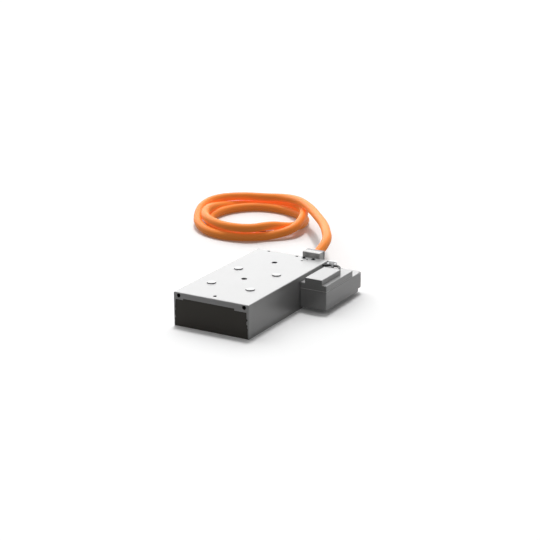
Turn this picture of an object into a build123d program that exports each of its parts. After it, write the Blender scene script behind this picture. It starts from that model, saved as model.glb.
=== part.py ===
from build123d import *
from math import cos, pi, radians, sin, tan
import os

# Linear motor coil unit with its side sensor head and orange supply cable.
# Millimetres. X runs across the unit towards the sensor head, Y along the travel
# towards the cable end, Z up to the mounting face.
# The origin is the centre of the coil unit's air-gap face.

# Coil unit housing
UNIT_WIDTH = 100.0
UNIT_HEIGHT = 41.0
PLATE_THICKNESS = 6.7
LEFT_WALL = 2.1
RIGHT_WALL = 2.9
LEFT_SHOULDER_WIDTH = 10.0
LEFT_SHOULDER_DROP = 1.7
RIGHT_SHOULDER_WIDTH = 16.1
RIGHT_SHOULDER_DROP = 2.3
EDGE_CHAMFER = 0.6
# Height and thickness at each bend of a wall's keyed inner face, from its foot up
LEFT_WALL_BENDS = (
    (0, 1.0),
    (9.0, 1.0),
    (10.4, 1.9),
    (11.6, 1.9),
    (13.0, 1.3),
    (18.6, 1.3),
    (19.6, 2.0),
    (20.8, 2.0),
    (22.2, 1.5),
)
RIGHT_WALL_BENDS = (
    (0, 1.4),
    (12.8, 1.4),
    (13.6, 2.1),
    (14.6, 2.1),
    (15.4, 1.6),
    (16.8, 1.6),
    (17.8, 2.9),
    (21.2, 2.9),
    (22.2, 1.6),
    (23.6, 1.6),
    (24.6, 2.9),
)
RESIN_RECESS = 0.4

# Wound core
TOOTH_COUNT = 9
TOOTH_PITCH = 20.0
TOOTH_WIDTH = 9.0
END_SPACE = 12.5
BACK_IRON_HEIGHT = 10.0
CORE_SIDE_GAP = 0.4
LINER_THICKNESS = 0.4
LINER_BOTTOM = 3.2
COIL_CLEARANCE = 0.15
COIL_GAP = 0.5
COIL_BOTTOM = 3.6
COIL_TOP_GAP = 1.2
COIL_INNER_CORNER = 0.4
COIL_OUTER_CORNER = 5.0
WEDGE_THICKNESS = 1.0
WEDGE_BOTTOM = 1.4
WEDGE_GROOVE = 0.6
WEDGE_CLEARANCE = 0.05
RIVET_DIAMETER = 4.0
RIVET_HEAD_DIAMETER = 5.0
RIVET_HEAD_HEIGHT = 1.4
RIVET_SPACING = 60.0

# Wiring inside the resin
BUSBAR_GAP = 3.45
BUSBAR_WIDTH = 2.0
BUSBAR_HEIGHT = 2.4
BUSBAR_DROP = 10.5
BUSBAR_STEP = 3.6
BUSBAR_TAB_WIDTH = 3.0
BOARD_THICKNESS = 1.6
TERMINAL_BOARD_INSET = 5.4
TERMINAL_BOARD_WIDTH = 38.0
TERMINAL_BOARD_SIDE_GAP = 1.1
TERMINAL_BOARD_HEIGHT = 20.0
TERMINAL_BOARD_DROP = 2.5
THERMISTOR_DIAMETER = 3.2
THERMISTOR_LENGTH = 9.0
THERMISTOR_Y = 30.0
THERMISTOR_HEIGHT = 7.0
SENSOR_LEAD_DIAMETER = 1.2

# Holes and pads in the mounting face
MOUNT_HOLE_DIAMETER = 6.8
MOUNT_HOLE_PITCH = 73.0
MOUNT_HOLE_FIRST_Y = -16.2
FRONT_HOLE_DIAMETER = 4.2
FRONT_HOLE_DEPTH = 5.5
FRONT_HOLE_X = -0.3
FRONT_HOLE_INSET = 9.6
PAD_DIAMETER = 11.0
PAD_HEIGHT = 1.0
PAD_SPIGOT_DIAMETER = 7.0
PAD_SPIGOT_DEPTH = 3.0
PAD_SPACING_X = 52.6
PAD_SPACING_Y = 62.0
REAR_HOLE_DIAMETER = 3.3
REAR_HOLE_DEPTH = 5.0
REAR_HOLES = ((-32.4, 3.2), (8.3, 4.8))
DOWEL_HOLE_DIAMETER = 2.6
DOWEL_HOLE_DEPTH = 3.0
DOWEL_HOLES = ((-3.4, 17.0), (0.2, 10.4))
END_HOLE_DIAMETER = 5.0
END_HOLE_DEPTH = 12.0
END_HOLE_DROP = 3.6
END_HOLE_LEFT_INSET = 6.5
END_HOLE_RIGHT_INSET = 6.0
HOLE_CHAMFER = 0.4
PAD_EDGE_CHAMFER = 0.25

# Cable clamp at the rear
CLAMP_X = 25.4
CLAMP_WIDTH = 24.0
CLAMP_BLOCK_DEPTH = 8.6
CLAMP_BACK_DEPTH = 5.4
CLAMP_RISE = 6.4
CLAMP_HEIGHT = 18.9
CLAMP_SCREW_SPACING = 13.0
CLAMP_SCREW_INSET = 6.0
TONGUE_LENGTH = 10.0
TONGUE_WIDTH = 7.5
SCREW_DIAMETER = 3.0
SCREW_HEAD_DIAMETER = 5.5
SCREW_HEAD_HEIGHT = 3.0
SCREW_SOCKET_SHARE = 0.45
SCREW_SOCKET_DEPTH_SHARE = 0.55
SCREW_CLEARANCE = 0.2
SCREW_LENGTH = 8.0
SCREW_HOLE_SPARE = 1.0
COUNTERBORE_SPARE = 0.3
CLAMP_EDGE_RADIUS = 0.7
BACK_SCREW_SPACING = 17.0
BACK_SCREW_RISE = 3.7
DIMPLE_DIAMETER = 4.6
DIMPLE_DEPTH = 1.0
DIMPLE_DROP = 3.5
DIMPLE_OFFSETS = (-4.5, 8.1)
DUCT_FLOOR = 1.5
FIT_GAP = 0.1

# Supply cable
CABLE_DIAMETER = 12.0
GLAND_TILT = 20.0
GLAND_DROP = 8.0
JACKET_INSERT = 9.0
SEAL_WALL = 0.6
CORE_WIRE_DIAMETER = 1.2
CORE_WIRE_SPACING = 1.3
CORE_WIRE_COUNT = 4
CORE_WIRE_BEND = 1.8
CORE_WIRE_RISE = 4.2
CORE_WIRE_FOOT = 5.0

# Sensor head beside the unit
HEAD_GAP = 0.6
HEAD_WIDTH = 35.1
HEAD_LENGTH = 84.4
HEAD_OVERHANG = 10.4
HEAD_BOTTOM = 3.6
HEAD_WALL = 2.5
HEAD_FLOOR = 2.5
GASKET_THICKNESS = 0.6
LID_LENGTH = 68.3
LID_HEIGHT = 7.1
LID_WALL = 2.2
RAISED_LEFT_INSET = 6.4
RAISED_WIDTH = 22.7
RAISED_LENGTH = 48.3
RAISED_STEP = 6.3
HEAD_EDGE_RADIUS = 0.8
LID_EDGE_CHAMFER = 0.4
CAP_LENGTH = 10.0
CAP_BOTTOM = 7.4
CAP_CORNER_RADIUS = 4.0
CAP_TOP_CHAMFER = 1.4
CAP_SPIGOT = 3.0
SPIGOT_INSET = 2.5
BOARD_MARGIN = 1.0
BOARD_LEFT_MARGIN = 5.0
BOARD_HEIGHT = 12.0
STANDOFF_DIAMETER = 4.5
STANDOFF_INSET = 3.5
SENSOR_SIZE = 4.0
SENSOR_HEIGHT = 1.4
SENSOR_COUNT = 3
SENSOR_PITCH = 16.0
CHIP_SIZE = 9.0
CHIP_HEIGHT = 1.2
CHIP_OFFSET = -6.0
PLUG_HEADER_WIDTH = 12.0
PLUG_HEADER_DEPTH = 6.0
PLUG_HEADER_HEIGHT = 6.5
PLUG_HEADER_WALL = 1.0
PLUG_HEADER_INSET = 8.0
PLUG_HEADER_MOUTH = 4.0
HEAD_SCREW_DIAMETER = 4.0
HEAD_SCREW_HEAD_DIAMETER = 6.5
HEAD_SCREW_HEAD_HEIGHT = 2.6
HEAD_SCREW_Z = 17.0
HEAD_SCREW_FRONT_INSET = 15.0
HEAD_SCREW_REAR_INSET = 13.3
INSERT_DIAMETER = 7.0
INSERT_LENGTH = 5.0
INSERT_SPARE = 0.5
SHIM_MARGIN = 9.0
COVER_BOSS_DIAMETER = 6.5
COVER_BOSS_INSET = 0.4
COVER_SCREW_DIAMETER = 2.5
COVER_SCREW_HEAD_DIAMETER = 4.5
COVER_SCREW_HEAD_HEIGHT = 2.0
COVER_SCREW_GRIP = 4.0
BOARD_SCREW_LENGTH = 5.5

# Wires from the sensor head into the unit, and their clip
WIRE_DIAMETER = 3.0
WIRE_RUN_IN = 5.5
WIRE_START_DROP = 2.4
WIRE_HOLE_DROP = 3.8
WIRE_HOLE_CLEARANCE = 0.6
GROMMET_DIAMETER = 5.0
GROMMET_FLANGE = 1.2
GROMMET_WALL = 0.4
CLIP_THICKNESS = 1.2
CLIP_WIDTH = 11.6
CLIP_FLANGE_DROP = 2.0
CLIP_EYE_DIAMETER = 1.8
CLIP_EYE_INSET = 2.2
CLIP_SCREW_DIAMETER = 2.5
CLIP_SCREW_HEAD_DIAMETER = 4.0
CLIP_SCREW_HEAD_HEIGHT = 1.4
CLIP_SCREW_LENGTH = 6.0
CLIP_SCREW_MARGIN = 0.4
CLIP_BEND_RADIUS = 1.0
WIRE_CLIP_CLEARANCE = 0.15

# Coil of the supply cable on the floor, and its stripped end
COIL_CENTRE = (-175.5, 309.0)
COIL_WIDTH = 171.0
COIL_LENGTH = 194.0
COIL_HEIGHT = 24.8
COIL_CHAMFER = 4.0
COIL_EYE_CENTRE = (-173.0, 306.5)
COIL_EYE_DIAMETER = 120.0
END_START = (-174.6, 255.9)
END_HEADING = 20.0
SLEEVE_LENGTH = 14.0
SLEEVE_WALL = 0.3
END_CORE_DIAMETER = 3.4
END_CORE_LENGTH = 26.0
END_CORE_COUNT = 4
END_CORE_SPREAD = 2.6
END_STUB_LENGTH = 26.0
FERRULE_DIAMETER = 2.4
FERRULE_LENGTH = 9.0

# Places worked out from the dimensions above
CORE_LENGTH = (TOOTH_COUNT - 1) * TOOTH_PITCH + TOOTH_WIDTH
UNIT_LENGTH = CORE_LENGTH + 2 * END_SPACE
REAR = UNIT_LENGTH / 2
SIDE = UNIT_WIDTH / 2
INSIDE_LEFT = -SIDE + LEFT_WALL
INSIDE_RIGHT = SIDE - RIGHT_WALL
CHANNEL_LEFT = INSIDE_LEFT + LEFT_SHOULDER_WIDTH
CHANNEL_RIGHT = INSIDE_RIGHT - RIGHT_SHOULDER_WIDTH
CHANNEL_TOP = UNIT_HEIGHT - PLATE_THICKNESS
LEFT_CEILING = CHANNEL_TOP - LEFT_SHOULDER_DROP
RIGHT_CEILING = CHANNEL_TOP - RIGHT_SHOULDER_DROP
CORE_X = (CHANNEL_LEFT + CHANNEL_RIGHT) / 2
CORE_WIDTH = CHANNEL_RIGHT - CHANNEL_LEFT - 2 * CORE_SIDE_GAP
TOOTH_HEIGHT = CHANNEL_TOP - BACK_IRON_HEIGHT
TOOTH_YS = [(i - (TOOTH_COUNT - 1) / 2) * TOOTH_PITCH for i in range(TOOTH_COUNT)]
LINER_X = CORE_WIDTH + 2 * LINER_THICKNESS
LINER_Y = TOOTH_WIDTH + 2 * LINER_THICKNESS
COIL_TOP = TOOTH_HEIGHT - COIL_TOP_GAP
COIL_BUILD = (TOOTH_PITCH - LINER_Y - 2 * COIL_CLEARANCE - COIL_GAP) / 2
COIL_SIDE_X = CORE_X + LINER_X / 2 + COIL_CLEARANCE + COIL_BUILD
BUSBAR_LEFT = COIL_SIDE_X + BUSBAR_GAP
TERMINAL_BOARD_Y = REAR - TERMINAL_BOARD_INSET
TERMINAL_BOARD_RIGHT = INSIDE_RIGHT - TERMINAL_BOARD_SIDE_GAP
MOUNT_HOLES = [(CORE_X, MOUNT_HOLE_FIRST_Y + i * MOUNT_HOLE_PITCH) for i in range(2)]
PADS = [
    (CORE_X + i * PAD_SPACING_X / 2, MOUNT_HOLE_FIRST_Y + j * PAD_SPACING_Y / 2)
    for i in (-1, 1)
    for j in (-1, 1)
]
CLAMP_SCREW = (SCREW_DIAMETER, SCREW_HEAD_DIAMETER, SCREW_HEAD_HEIGHT)
HEAD_SCREW = (HEAD_SCREW_DIAMETER, HEAD_SCREW_HEAD_DIAMETER, HEAD_SCREW_HEAD_HEIGHT)
COVER_SCREW = (COVER_SCREW_DIAMETER, COVER_SCREW_HEAD_DIAMETER, COVER_SCREW_HEAD_HEIGHT)
CLIP_SCREW = (CLIP_SCREW_DIAMETER, CLIP_SCREW_HEAD_DIAMETER, CLIP_SCREW_HEAD_HEIGHT)
CLAMP_SCREW_XS = (CLAMP_X - CLAMP_SCREW_SPACING / 2, CLAMP_X + CLAMP_SCREW_SPACING / 2)
CLAMP_SCREW_Y = REAR - CLAMP_SCREW_INSET
CLAMP_TOP = UNIT_HEIGHT + CLAMP_RISE
CLAMP_BOTTOM = CLAMP_TOP - CLAMP_HEIGHT
TERMINAL_BOARD_TOP = CLAMP_BOTTOM - TERMINAL_BOARD_DROP
TERMINAL_BOARD_BOTTOM = TERMINAL_BOARD_TOP - TERMINAL_BOARD_HEIGHT
BUSBAR_BOTTOM = TERMINAL_BOARD_TOP - BUSBAR_DROP
BACK_SCREW_HEIGHT = CLAMP_BOTTOM + BACK_SCREW_RISE
CLAMP_SPLIT = REAR + CLAMP_BLOCK_DEPTH
CLAMP_REAR = CLAMP_SPLIT + CLAMP_BACK_DEPTH
GLAND_EXIT = Vector(CLAMP_X, CLAMP_REAR, CLAMP_TOP - GLAND_DROP)
GLAND_AXIS = Vector(0, cos(radians(GLAND_TILT)), sin(radians(GLAND_TILT)))
JACKET_START = GLAND_EXIT - GLAND_AXIS * JACKET_INSERT
HEAD_LEFT = SIDE + HEAD_GAP
HEAD_RIGHT = HEAD_LEFT + HEAD_WIDTH
HEAD_REAR = REAR + HEAD_OVERHANG
HEAD_FRONT = HEAD_REAR - HEAD_LENGTH
LID_REAR = HEAD_FRONT + LID_LENGTH
RAISED_REAR = HEAD_FRONT + RAISED_LENGTH
RAISED_LEFT = HEAD_LEFT + RAISED_LEFT_INSET
RAISED_RIGHT = RAISED_LEFT + RAISED_WIDTH
LID_TOP = UNIT_HEIGHT - RAISED_STEP
LID_BOTTOM = LID_TOP - LID_HEIGHT
HEAD_JOINT = LID_BOTTOM - GASKET_THICKNESS
HEAD_SCREW_YS = (HEAD_FRONT + HEAD_SCREW_FRONT_INSET, LID_REAR - HEAD_SCREW_REAR_INSET)
POCKET_REAR = LID_REAR - HEAD_WALL
POCKET = (HEAD_LEFT + HEAD_WALL, HEAD_RIGHT - HEAD_WALL, HEAD_FRONT + HEAD_WALL, POCKET_REAR)
BOARD_LEFT = HEAD_LEFT + HEAD_WALL + BOARD_LEFT_MARGIN
BOARD_RIGHT = HEAD_RIGHT - HEAD_WALL - BOARD_MARGIN
BOARD_FRONT = HEAD_FRONT + HEAD_WALL + COVER_BOSS_DIAMETER
BOARD_REAR = POCKET_REAR - COVER_BOSS_DIAMETER
BOARD_X = (BOARD_LEFT + BOARD_RIGHT) / 2
BOARD_Y = (BOARD_FRONT + BOARD_REAR) / 2
COVER_BOSSES = [
    (x, y)
    for x in (HEAD_LEFT + HEAD_WALL + COVER_BOSS_INSET, HEAD_RIGHT - HEAD_WALL - COVER_BOSS_INSET)
    for y in (HEAD_FRONT + HEAD_WALL + COVER_BOSS_INSET, POCKET_REAR - COVER_BOSS_INSET)
]

# The lead's free route from the clamp to the coil, chosen by hand after its start
LEAD_ROUTE = [
    tuple(JACKET_START),
    tuple(GLAND_EXIT + GLAND_AXIS * JACKET_INSERT),
    (23.4, 139.3, 47.0),
    (16.8, 158.5, 48.7),
    (4.2, 182.0, 47.2),
    (-18.0, 222.0, 41.6),
    (-41.5, 258.0, 37.0),
    (-68.0, 295.0, 32.9),
    (-92.0, 327.0, 30.2),
    (-113.0, 352.0, 29.0),
    (-136.0, 376.0, 27.2),
    (-160.0, 393.0, 23.0),
]

# Each wire's route from the raised lid to its hole in the unit's side, chosen by hand
WIRE_START_Z = UNIT_HEIGHT - WIRE_START_DROP
WIRE_HOLE_Z = UNIT_HEIGHT - WIRE_HOLE_DROP
WIRE_END_X = SIDE - WIRE_RUN_IN
WIRE_ROUTES = [
    [
        (RAISED_RIGHT - 13.2, RAISED_REAR - 1.0, WIRE_START_Z),
        (RAISED_RIGHT - 13.2, RAISED_REAR + 5.7, UNIT_HEIGHT - 1.2),
        (HEAD_LEFT + 11.4, REAR - 14.5, UNIT_HEIGHT + 0.2),
        (HEAD_LEFT + 4.9, REAR - 14.0, UNIT_HEIGHT - 1.4),
        (WIRE_END_X, REAR - 14.6, WIRE_HOLE_Z),
    ],
    [
        (RAISED_RIGHT - 3.7, RAISED_REAR - 1.0, WIRE_START_Z),
        (RAISED_RIGHT - 3.7, RAISED_REAR + 6.2, UNIT_HEIGHT - 1.2),
        (HEAD_LEFT + 19.4, REAR - 13.0, UNIT_HEIGHT - 0.6),
        (HEAD_LEFT + 11.4, REAR - 8.0, UNIT_HEIGHT - 3.4),
        (WIRE_END_X, REAR - 7.4, WIRE_HOLE_Z),
    ],
]


def box(x0, x1, y0, y1, z0, z1):
    """Return a box between two corners."""
    return Pos((x0 + x1) / 2, (y0 + y1) / 2, (z0 + z1) / 2) * Box(x1 - x0, y1 - y0, z1 - z0)


def rod(start, direction, diameter, length):
    """Return a cylinder that runs from a point along a direction."""
    plane = Plane(origin=start, z_dir=direction)
    return extrude(plane * Circle(diameter / 2), length)


def down_hole(x, y, top, diameter, depth, chamfer_size=HOLE_CHAMFER):
    """Return the cutter of a chamfered hole that goes down from a face."""
    bore = rod((x, y, top - depth), (0, 0, 1), diameter, depth + 1)
    mouth = Pos(x, y, top - chamfer_size / 2) * Cone(
        diameter / 2, diameter / 2 + chamfer_size, chamfer_size
    )
    return bore + mouth


def cap_screw(seat, direction, size, length):
    """Return a socket head screw from its head's seat, its shank along a direction."""
    diameter, head, head_height = size
    point = Vector(*seat)
    axis = Vector(*direction)
    body = rod(point, axis, diameter, length) + rod(point, -axis, head, head_height)
    face = Plane(origin=point - axis * head_height, z_dir=axis)
    hexagon = RegularPolygon(head * SCREW_SOCKET_SHARE / 2, 6, major_radius=False)
    return body - extrude(face * hexagon, head_height * SCREW_SOCKET_DEPTH_SHARE)


def tube_path(points):
    """Return straight runs with tangent arcs as large as each pair of runs allows, and the radii."""
    radii = []
    for a, b, c in zip(points, points[1:], points[2:]):
        first = Vector(*b) - Vector(*a)
        second = Vector(*c) - Vector(*b)
        turn = radians(first.get_angle(second))
        radii.append(0.45 * min(first.length, second.length) / tan(turn / 2))
    return FilletPolyline(*points, radius=radii), radii


def tube(points, diameter, name):
    """Return a round tube along a route, after comparing its volume with section times length."""
    path, radii = tube_path(points)
    section = Plane(origin=path @ 0, z_dir=path % 0) * Circle(diameter / 2)
    solid = sweep(section, path=path)
    expected = pi * diameter ** 2 / 4 * path.length
    print(name, "length", round(path.length, 1), "radii", [round(r, 1) for r in radii])
    print(name, "volume over section times length", round(solid.volume / expected, 4))
    return solid


def cavity_profile():
    """Return the outline of the resin space across the unit, with the walls' keyed faces."""
    left_foot = [(-SIDE + thickness, height) for height, thickness in LEFT_WALL_BENDS]
    right_foot = [(SIDE - thickness, height) for height, thickness in reversed(RIGHT_WALL_BENDS)]
    ceiling = [
        (INSIDE_LEFT, LEFT_CEILING),
        (CHANNEL_LEFT, LEFT_CEILING),
        (CHANNEL_LEFT, CHANNEL_TOP),
        (CHANNEL_RIGHT, CHANNEL_TOP),
        (CHANNEL_RIGHT, RIGHT_CEILING),
        (INSIDE_RIGHT, RIGHT_CEILING),
    ]
    return Polyline(*left_foot, *ceiling, *right_foot, close=True)


def cavity(length):
    """Return the resin space as a solid."""
    return extrude(Plane.XZ * make_face(cavity_profile()), length / 2, both=True)


def tongue_pocket():
    """Return the space that the clamp's prongs take under the mounting plate."""
    half = CLAMP_SCREW_SPACING / 2 + TONGUE_WIDTH / 2 + FIT_GAP
    return box(
        CLAMP_X - half, CLAMP_X + half, REAR - TONGUE_LENGTH - FIT_GAP, REAR, RIGHT_CEILING - 1, CHANNEL_TOP
    )


def housing():
    """Return the aluminium housing: mounting plate and two thin side walls."""
    body = box(-SIDE, SIDE, -REAR, REAR, 0, UNIT_HEIGHT)
    top_edges = body.edges().filter_by(Axis.Y).group_by(Axis.Z)[-1]
    top_edges += body.edges().filter_by(Axis.X).group_by(Axis.Z)[-1]
    body = chamfer(top_edges, EDGE_CHAMFER)
    body -= cavity(UNIT_LENGTH)
    body -= tongue_pocket()
    for x, y in MOUNT_HOLES:
        body -= down_hole(x, y, UNIT_HEIGHT, MOUNT_HOLE_DIAMETER, PLATE_THICKNESS)
    body -= down_hole(
        FRONT_HOLE_X, -REAR + FRONT_HOLE_INSET, UNIT_HEIGHT, FRONT_HOLE_DIAMETER, FRONT_HOLE_DEPTH
    )
    for x, inset in REAR_HOLES:
        body -= down_hole(x, REAR - inset, UNIT_HEIGHT, REAR_HOLE_DIAMETER, REAR_HOLE_DEPTH)
    for offset, inset in DOWEL_HOLES:
        body -= down_hole(CLAMP_X + offset, REAR - inset, UNIT_HEIGHT, DOWEL_HOLE_DIAMETER, DOWEL_HOLE_DEPTH)
    for x, y in PADS:
        foot = (x, y, UNIT_HEIGHT - PAD_SPIGOT_DEPTH)
        body -= rod(foot, (0, 0, 1), PAD_SPIGOT_DIAMETER, PAD_SPIGOT_DEPTH)
    for x in CLAMP_SCREW_XS:
        head = SCREW_HEAD_DIAMETER + 2 * SCREW_CLEARANCE
        shank = SCREW_DIAMETER + SCREW_CLEARANCE
        body -= down_hole(x, CLAMP_SCREW_Y, UNIT_HEIGHT, head, SCREW_HEAD_HEIGHT + COUNTERBORE_SPARE)
        body -= rod((x, CLAMP_SCREW_Y, CHANNEL_TOP - 1), (0, 0, 1), shank, PLATE_THICKNESS)
    for x in (-SIDE + END_HOLE_LEFT_INSET, SIDE - END_HOLE_RIGHT_INSET):
        mouth = (x, -REAR, UNIT_HEIGHT - END_HOLE_DROP)
        body -= rod(mouth, (0, 1, 0), END_HOLE_DIAMETER, END_HOLE_DEPTH)
    for route in WIRE_ROUTES:
        body -= wire_hole(route)
    for y in HEAD_SCREW_YS:
        shank = HEAD_SCREW_DIAMETER + SCREW_CLEARANCE
        body -= rod((INSIDE_RIGHT - 1, y, HEAD_SCREW_Z), (1, 0, 0), shank, RIGHT_WALL + 2)
    body -= clip_screw_hole()
    return body


def wire_hole(route):
    """Return the cutter of a wire's hole: in along its last run, then down to the resin."""
    end = Vector(*route[-1])
    inward = end - Vector(*route[-2])
    diameter = WIRE_DIAMETER + WIRE_HOLE_CLEARANCE
    bore = rod(end + inward.normalized() * diameter / 2, -inward, diameter, WIRE_RUN_IN * 2)
    return bore + rod((end.X, end.Y, RIGHT_CEILING - 1), (0, 0, 1), diameter, end.Z - RIGHT_CEILING + 1)


def clip_screw_hole():
    """Return the cutter of the tapped hole for the wire clip's screw."""
    mouth = (SIDE + 1, clip_screw_y(), clip_screw_z())
    depth = CLIP_SCREW_LENGTH - CLIP_THICKNESS + SCREW_HOLE_SPARE
    return rod(mouth, (-1, 0, 0), CLIP_SCREW_DIAMETER, 1 + depth)


def clip_screw_y():
    """Return where the clip's screw stands along the unit."""
    return REAR - CLIP_THICKNESS - CLIP_SCREW_HEAD_DIAMETER / 2 - CLIP_SCREW_MARGIN


def clip_screw_z():
    """Return the height of the clip's screw."""
    return (LID_TOP + UNIT_HEIGHT - CLIP_FLANGE_DROP) / 2


def lamination_core():
    """Return the comb-shaped steel core with wedge grooves near the tooth tips."""
    half = CORE_LENGTH / 2
    section = Pos(0, CHANNEL_TOP - BACK_IRON_HEIGHT / 2) * Rectangle(CORE_LENGTH, BACK_IRON_HEIGHT)
    for y in TOOTH_YS:
        section += Pos(y, (TOOTH_HEIGHT + 0.5) / 2) * Rectangle(TOOTH_WIDTH, TOOTH_HEIGHT + 0.5)
    groove_z = WEDGE_BOTTOM + WEDGE_THICKNESS / 2
    groove = Rectangle(2 * WEDGE_GROOVE, WEDGE_THICKNESS + 2 * WEDGE_CLEARANCE)
    for y in TOOTH_YS:
        for side in (-1, 1):
            edge = y + side * TOOTH_WIDTH / 2
            if abs(edge) < half - 0.1:
                section -= Pos(edge, groove_z) * groove
    core = Pos(CORE_X, 0, 0) * extrude(Plane.YZ * section, CORE_WIDTH / 2, both=True)
    for y in rivet_ys():
        core -= rod((CORE_X - CORE_WIDTH, y, rivet_z()), (1, 0, 0), RIVET_DIAMETER, 2 * CORE_WIDTH)
    return core


def rivet_ys():
    """Return where the core's rivets stand along the unit."""
    return (-RIVET_SPACING, 0, RIVET_SPACING)


def rivet_z():
    """Return the height of the core's rivets."""
    return CHANNEL_TOP - BACK_IRON_HEIGHT / 2


def core_rivets():
    """Return the rivets that hold the laminations together."""
    half = CORE_WIDTH / 2
    rivets = []
    for y in rivet_ys():
        rivet = rod((CORE_X - half, y, rivet_z()), (1, 0, 0), RIVET_DIAMETER, CORE_WIDTH)
        for side in (-1, 1):
            rivet += rod(
                (CORE_X + side * half, y, rivet_z()), (side, 0, 0), RIVET_HEAD_DIAMETER, RIVET_HEAD_HEIGHT
            )
        rivets.append(rivet)
    return rivets


def slot_wedges():
    """Return the strips that close the slots between the teeth."""
    width = TOOTH_PITCH - TOOTH_WIDTH + 2 * (WEDGE_GROOVE - WEDGE_CLEARANCE)
    height = WEDGE_BOTTOM + WEDGE_THICKNESS / 2
    strip = Box(CORE_WIDTH, width, WEDGE_THICKNESS)
    return [Pos(CORE_X, (a + b) / 2, height) * strip for a, b in zip(TOOTH_YS, TOOTH_YS[1:])]


def liner_envelope(y):
    """Return the space that one slot liner takes, with its tooth."""
    height = TOOTH_HEIGHT - LINER_BOTTOM
    return Pos(CORE_X, y, LINER_BOTTOM + height / 2) * Box(LINER_X, LINER_Y, height)


def slot_liners():
    """Return the insulating sleeves round the teeth."""
    tooth = Box(CORE_WIDTH, TOOTH_WIDTH, TOOTH_HEIGHT)
    return [liner_envelope(y) - Pos(CORE_X, y, TOOTH_HEIGHT / 2) * tooth for y in TOOTH_YS]


def coil_envelope(y):
    """Return the space that one coil takes, with its lined tooth."""
    winding = 2 * (COIL_CLEARANCE + COIL_BUILD)
    outline = RectangleRounded(LINER_X + winding, LINER_Y + winding, COIL_OUTER_CORNER)
    return Pos(CORE_X, y, COIL_BOTTOM) * extrude(outline, COIL_TOP - COIL_BOTTOM)


def coil(y):
    """Return one coil with round corners, wound round a lined tooth."""
    gap = 2 * COIL_CLEARANCE
    window = RectangleRounded(LINER_X + gap, LINER_Y + gap, COIL_INNER_CORNER)
    height = COIL_TOP - COIL_BOTTOM
    return coil_envelope(y) - Pos(CORE_X, y, COIL_BOTTOM) * extrude(window, height)


def phase_coils(phase):
    """Return the coils of one phase: every third tooth."""
    return [coil(y) for y in TOOTH_YS[phase::3]]


def busbars():
    """Return one copper bar for each phase, with a tab to each of its coils."""
    bars = []
    for phase in range(3):
        bottom = BUSBAR_BOTTOM - phase * BUSBAR_STEP
        front = TOOTH_YS[phase] - BUSBAR_TAB_WIDTH / 2
        top = bottom + BUSBAR_HEIGHT
        bar = box(BUSBAR_LEFT, BUSBAR_LEFT + BUSBAR_WIDTH, front, TERMINAL_BOARD_Y, bottom, top)
        for y in TOOTH_YS[phase::3]:
            tab = (y - BUSBAR_TAB_WIDTH / 2, y + BUSBAR_TAB_WIDTH / 2)
            bar += box(COIL_SIDE_X, BUSBAR_LEFT + BUSBAR_WIDTH / 2, *tab, bottom, top)
        bars.append(bar)
    return bars


def terminal_board():
    """Return the board where the phase bars meet the cable's cores."""
    return box(
        TERMINAL_BOARD_RIGHT - TERMINAL_BOARD_WIDTH,
        TERMINAL_BOARD_RIGHT,
        TERMINAL_BOARD_Y,
        TERMINAL_BOARD_Y + BOARD_THICKNESS,
        TERMINAL_BOARD_BOTTOM,
        TERMINAL_BOARD_TOP,
    )


def thermistor():
    """Return the winding temperature sensor beside a coil, with its lead to the board."""
    x = COIL_SIDE_X + THERMISTOR_DIAMETER / 2
    start = (x, THERMISTOR_Y, THERMISTOR_HEIGHT)
    bead = rod(start, (0, 1, 0), THERMISTOR_DIAMETER, THERMISTOR_LENGTH)
    lead = rod(start, (0, 1, 0), SENSOR_LEAD_DIAMETER, TERMINAL_BOARD_Y - THERMISTOR_Y)
    return bead + lead


def supply_cores():
    """Return the cable's cores from the jacket's end to the terminal board."""
    cores = []
    face = JACKET_START
    for i in range(CORE_WIRE_COUNT):
        x = CLAMP_X + (i - (CORE_WIRE_COUNT - 1) / 2) * CORE_WIRE_SPACING
        points = [
            (x, face.Y, face.Z),
            (x, REAR - CORE_WIRE_DIAMETER, CLAMP_BOTTOM + CORE_WIRE_RISE),
            (x, TERMINAL_BOARD_Y + BOARD_THICKNESS, TERMINAL_BOARD_TOP - CORE_WIRE_FOOT),
        ]
        path = FilletPolyline(*points, radius=CORE_WIRE_BEND)
        section = Plane(origin=path @ 0, z_dir=path % 0) * Circle(CORE_WIRE_DIAMETER / 2)
        core = sweep(section, path=path)
        core -= rod(face, GLAND_AXIS, CABLE_DIAMETER, 4)
        core -= terminal_board()
        cores.append(core)
    return cores


def core_window():
    """Return the open window behind the board, where the cable's cores come down."""
    half = (CLAMP_SCREW_SPACING - TONGUE_WIDTH) / 2
    bottom = TERMINAL_BOARD_TOP - CORE_WIRE_FOOT - CORE_WIRE_DIAMETER
    return box(CLAMP_X - half, CLAMP_X + half, TERMINAL_BOARD_Y, REAR, bottom, CHANNEL_TOP)


def potting(inner_pieces):
    """Return the resin that fills the housing round everything inside it."""
    resin = cavity(UNIT_LENGTH - 2 * RESIN_RECESS)
    for piece in inner_pieces:
        resin -= piece
    for y in HEAD_SCREW_YS:
        resin -= rod((INSIDE_RIGHT - 1, y, HEAD_SCREW_Z), (1, 0, 0), HEAD_SCREW_DIAMETER, RIGHT_WALL)
    return resin


def seating_pads():
    """Return the round pads that are pressed into the mounting face."""
    pads = []
    for x, y in PADS:
        disc = rod((x, y, UNIT_HEIGHT), (0, 0, 1), PAD_DIAMETER, PAD_HEIGHT)
        disc = chamfer(disc.edges().group_by(Axis.Z)[-1], PAD_EDGE_CHAMFER)
        disc += rod(
            (x, y, UNIT_HEIGHT - PAD_SPIGOT_DEPTH), (0, 0, 1), PAD_SPIGOT_DIAMETER, PAD_SPIGOT_DEPTH
        )
        pads.append(disc)
    return pads


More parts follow.
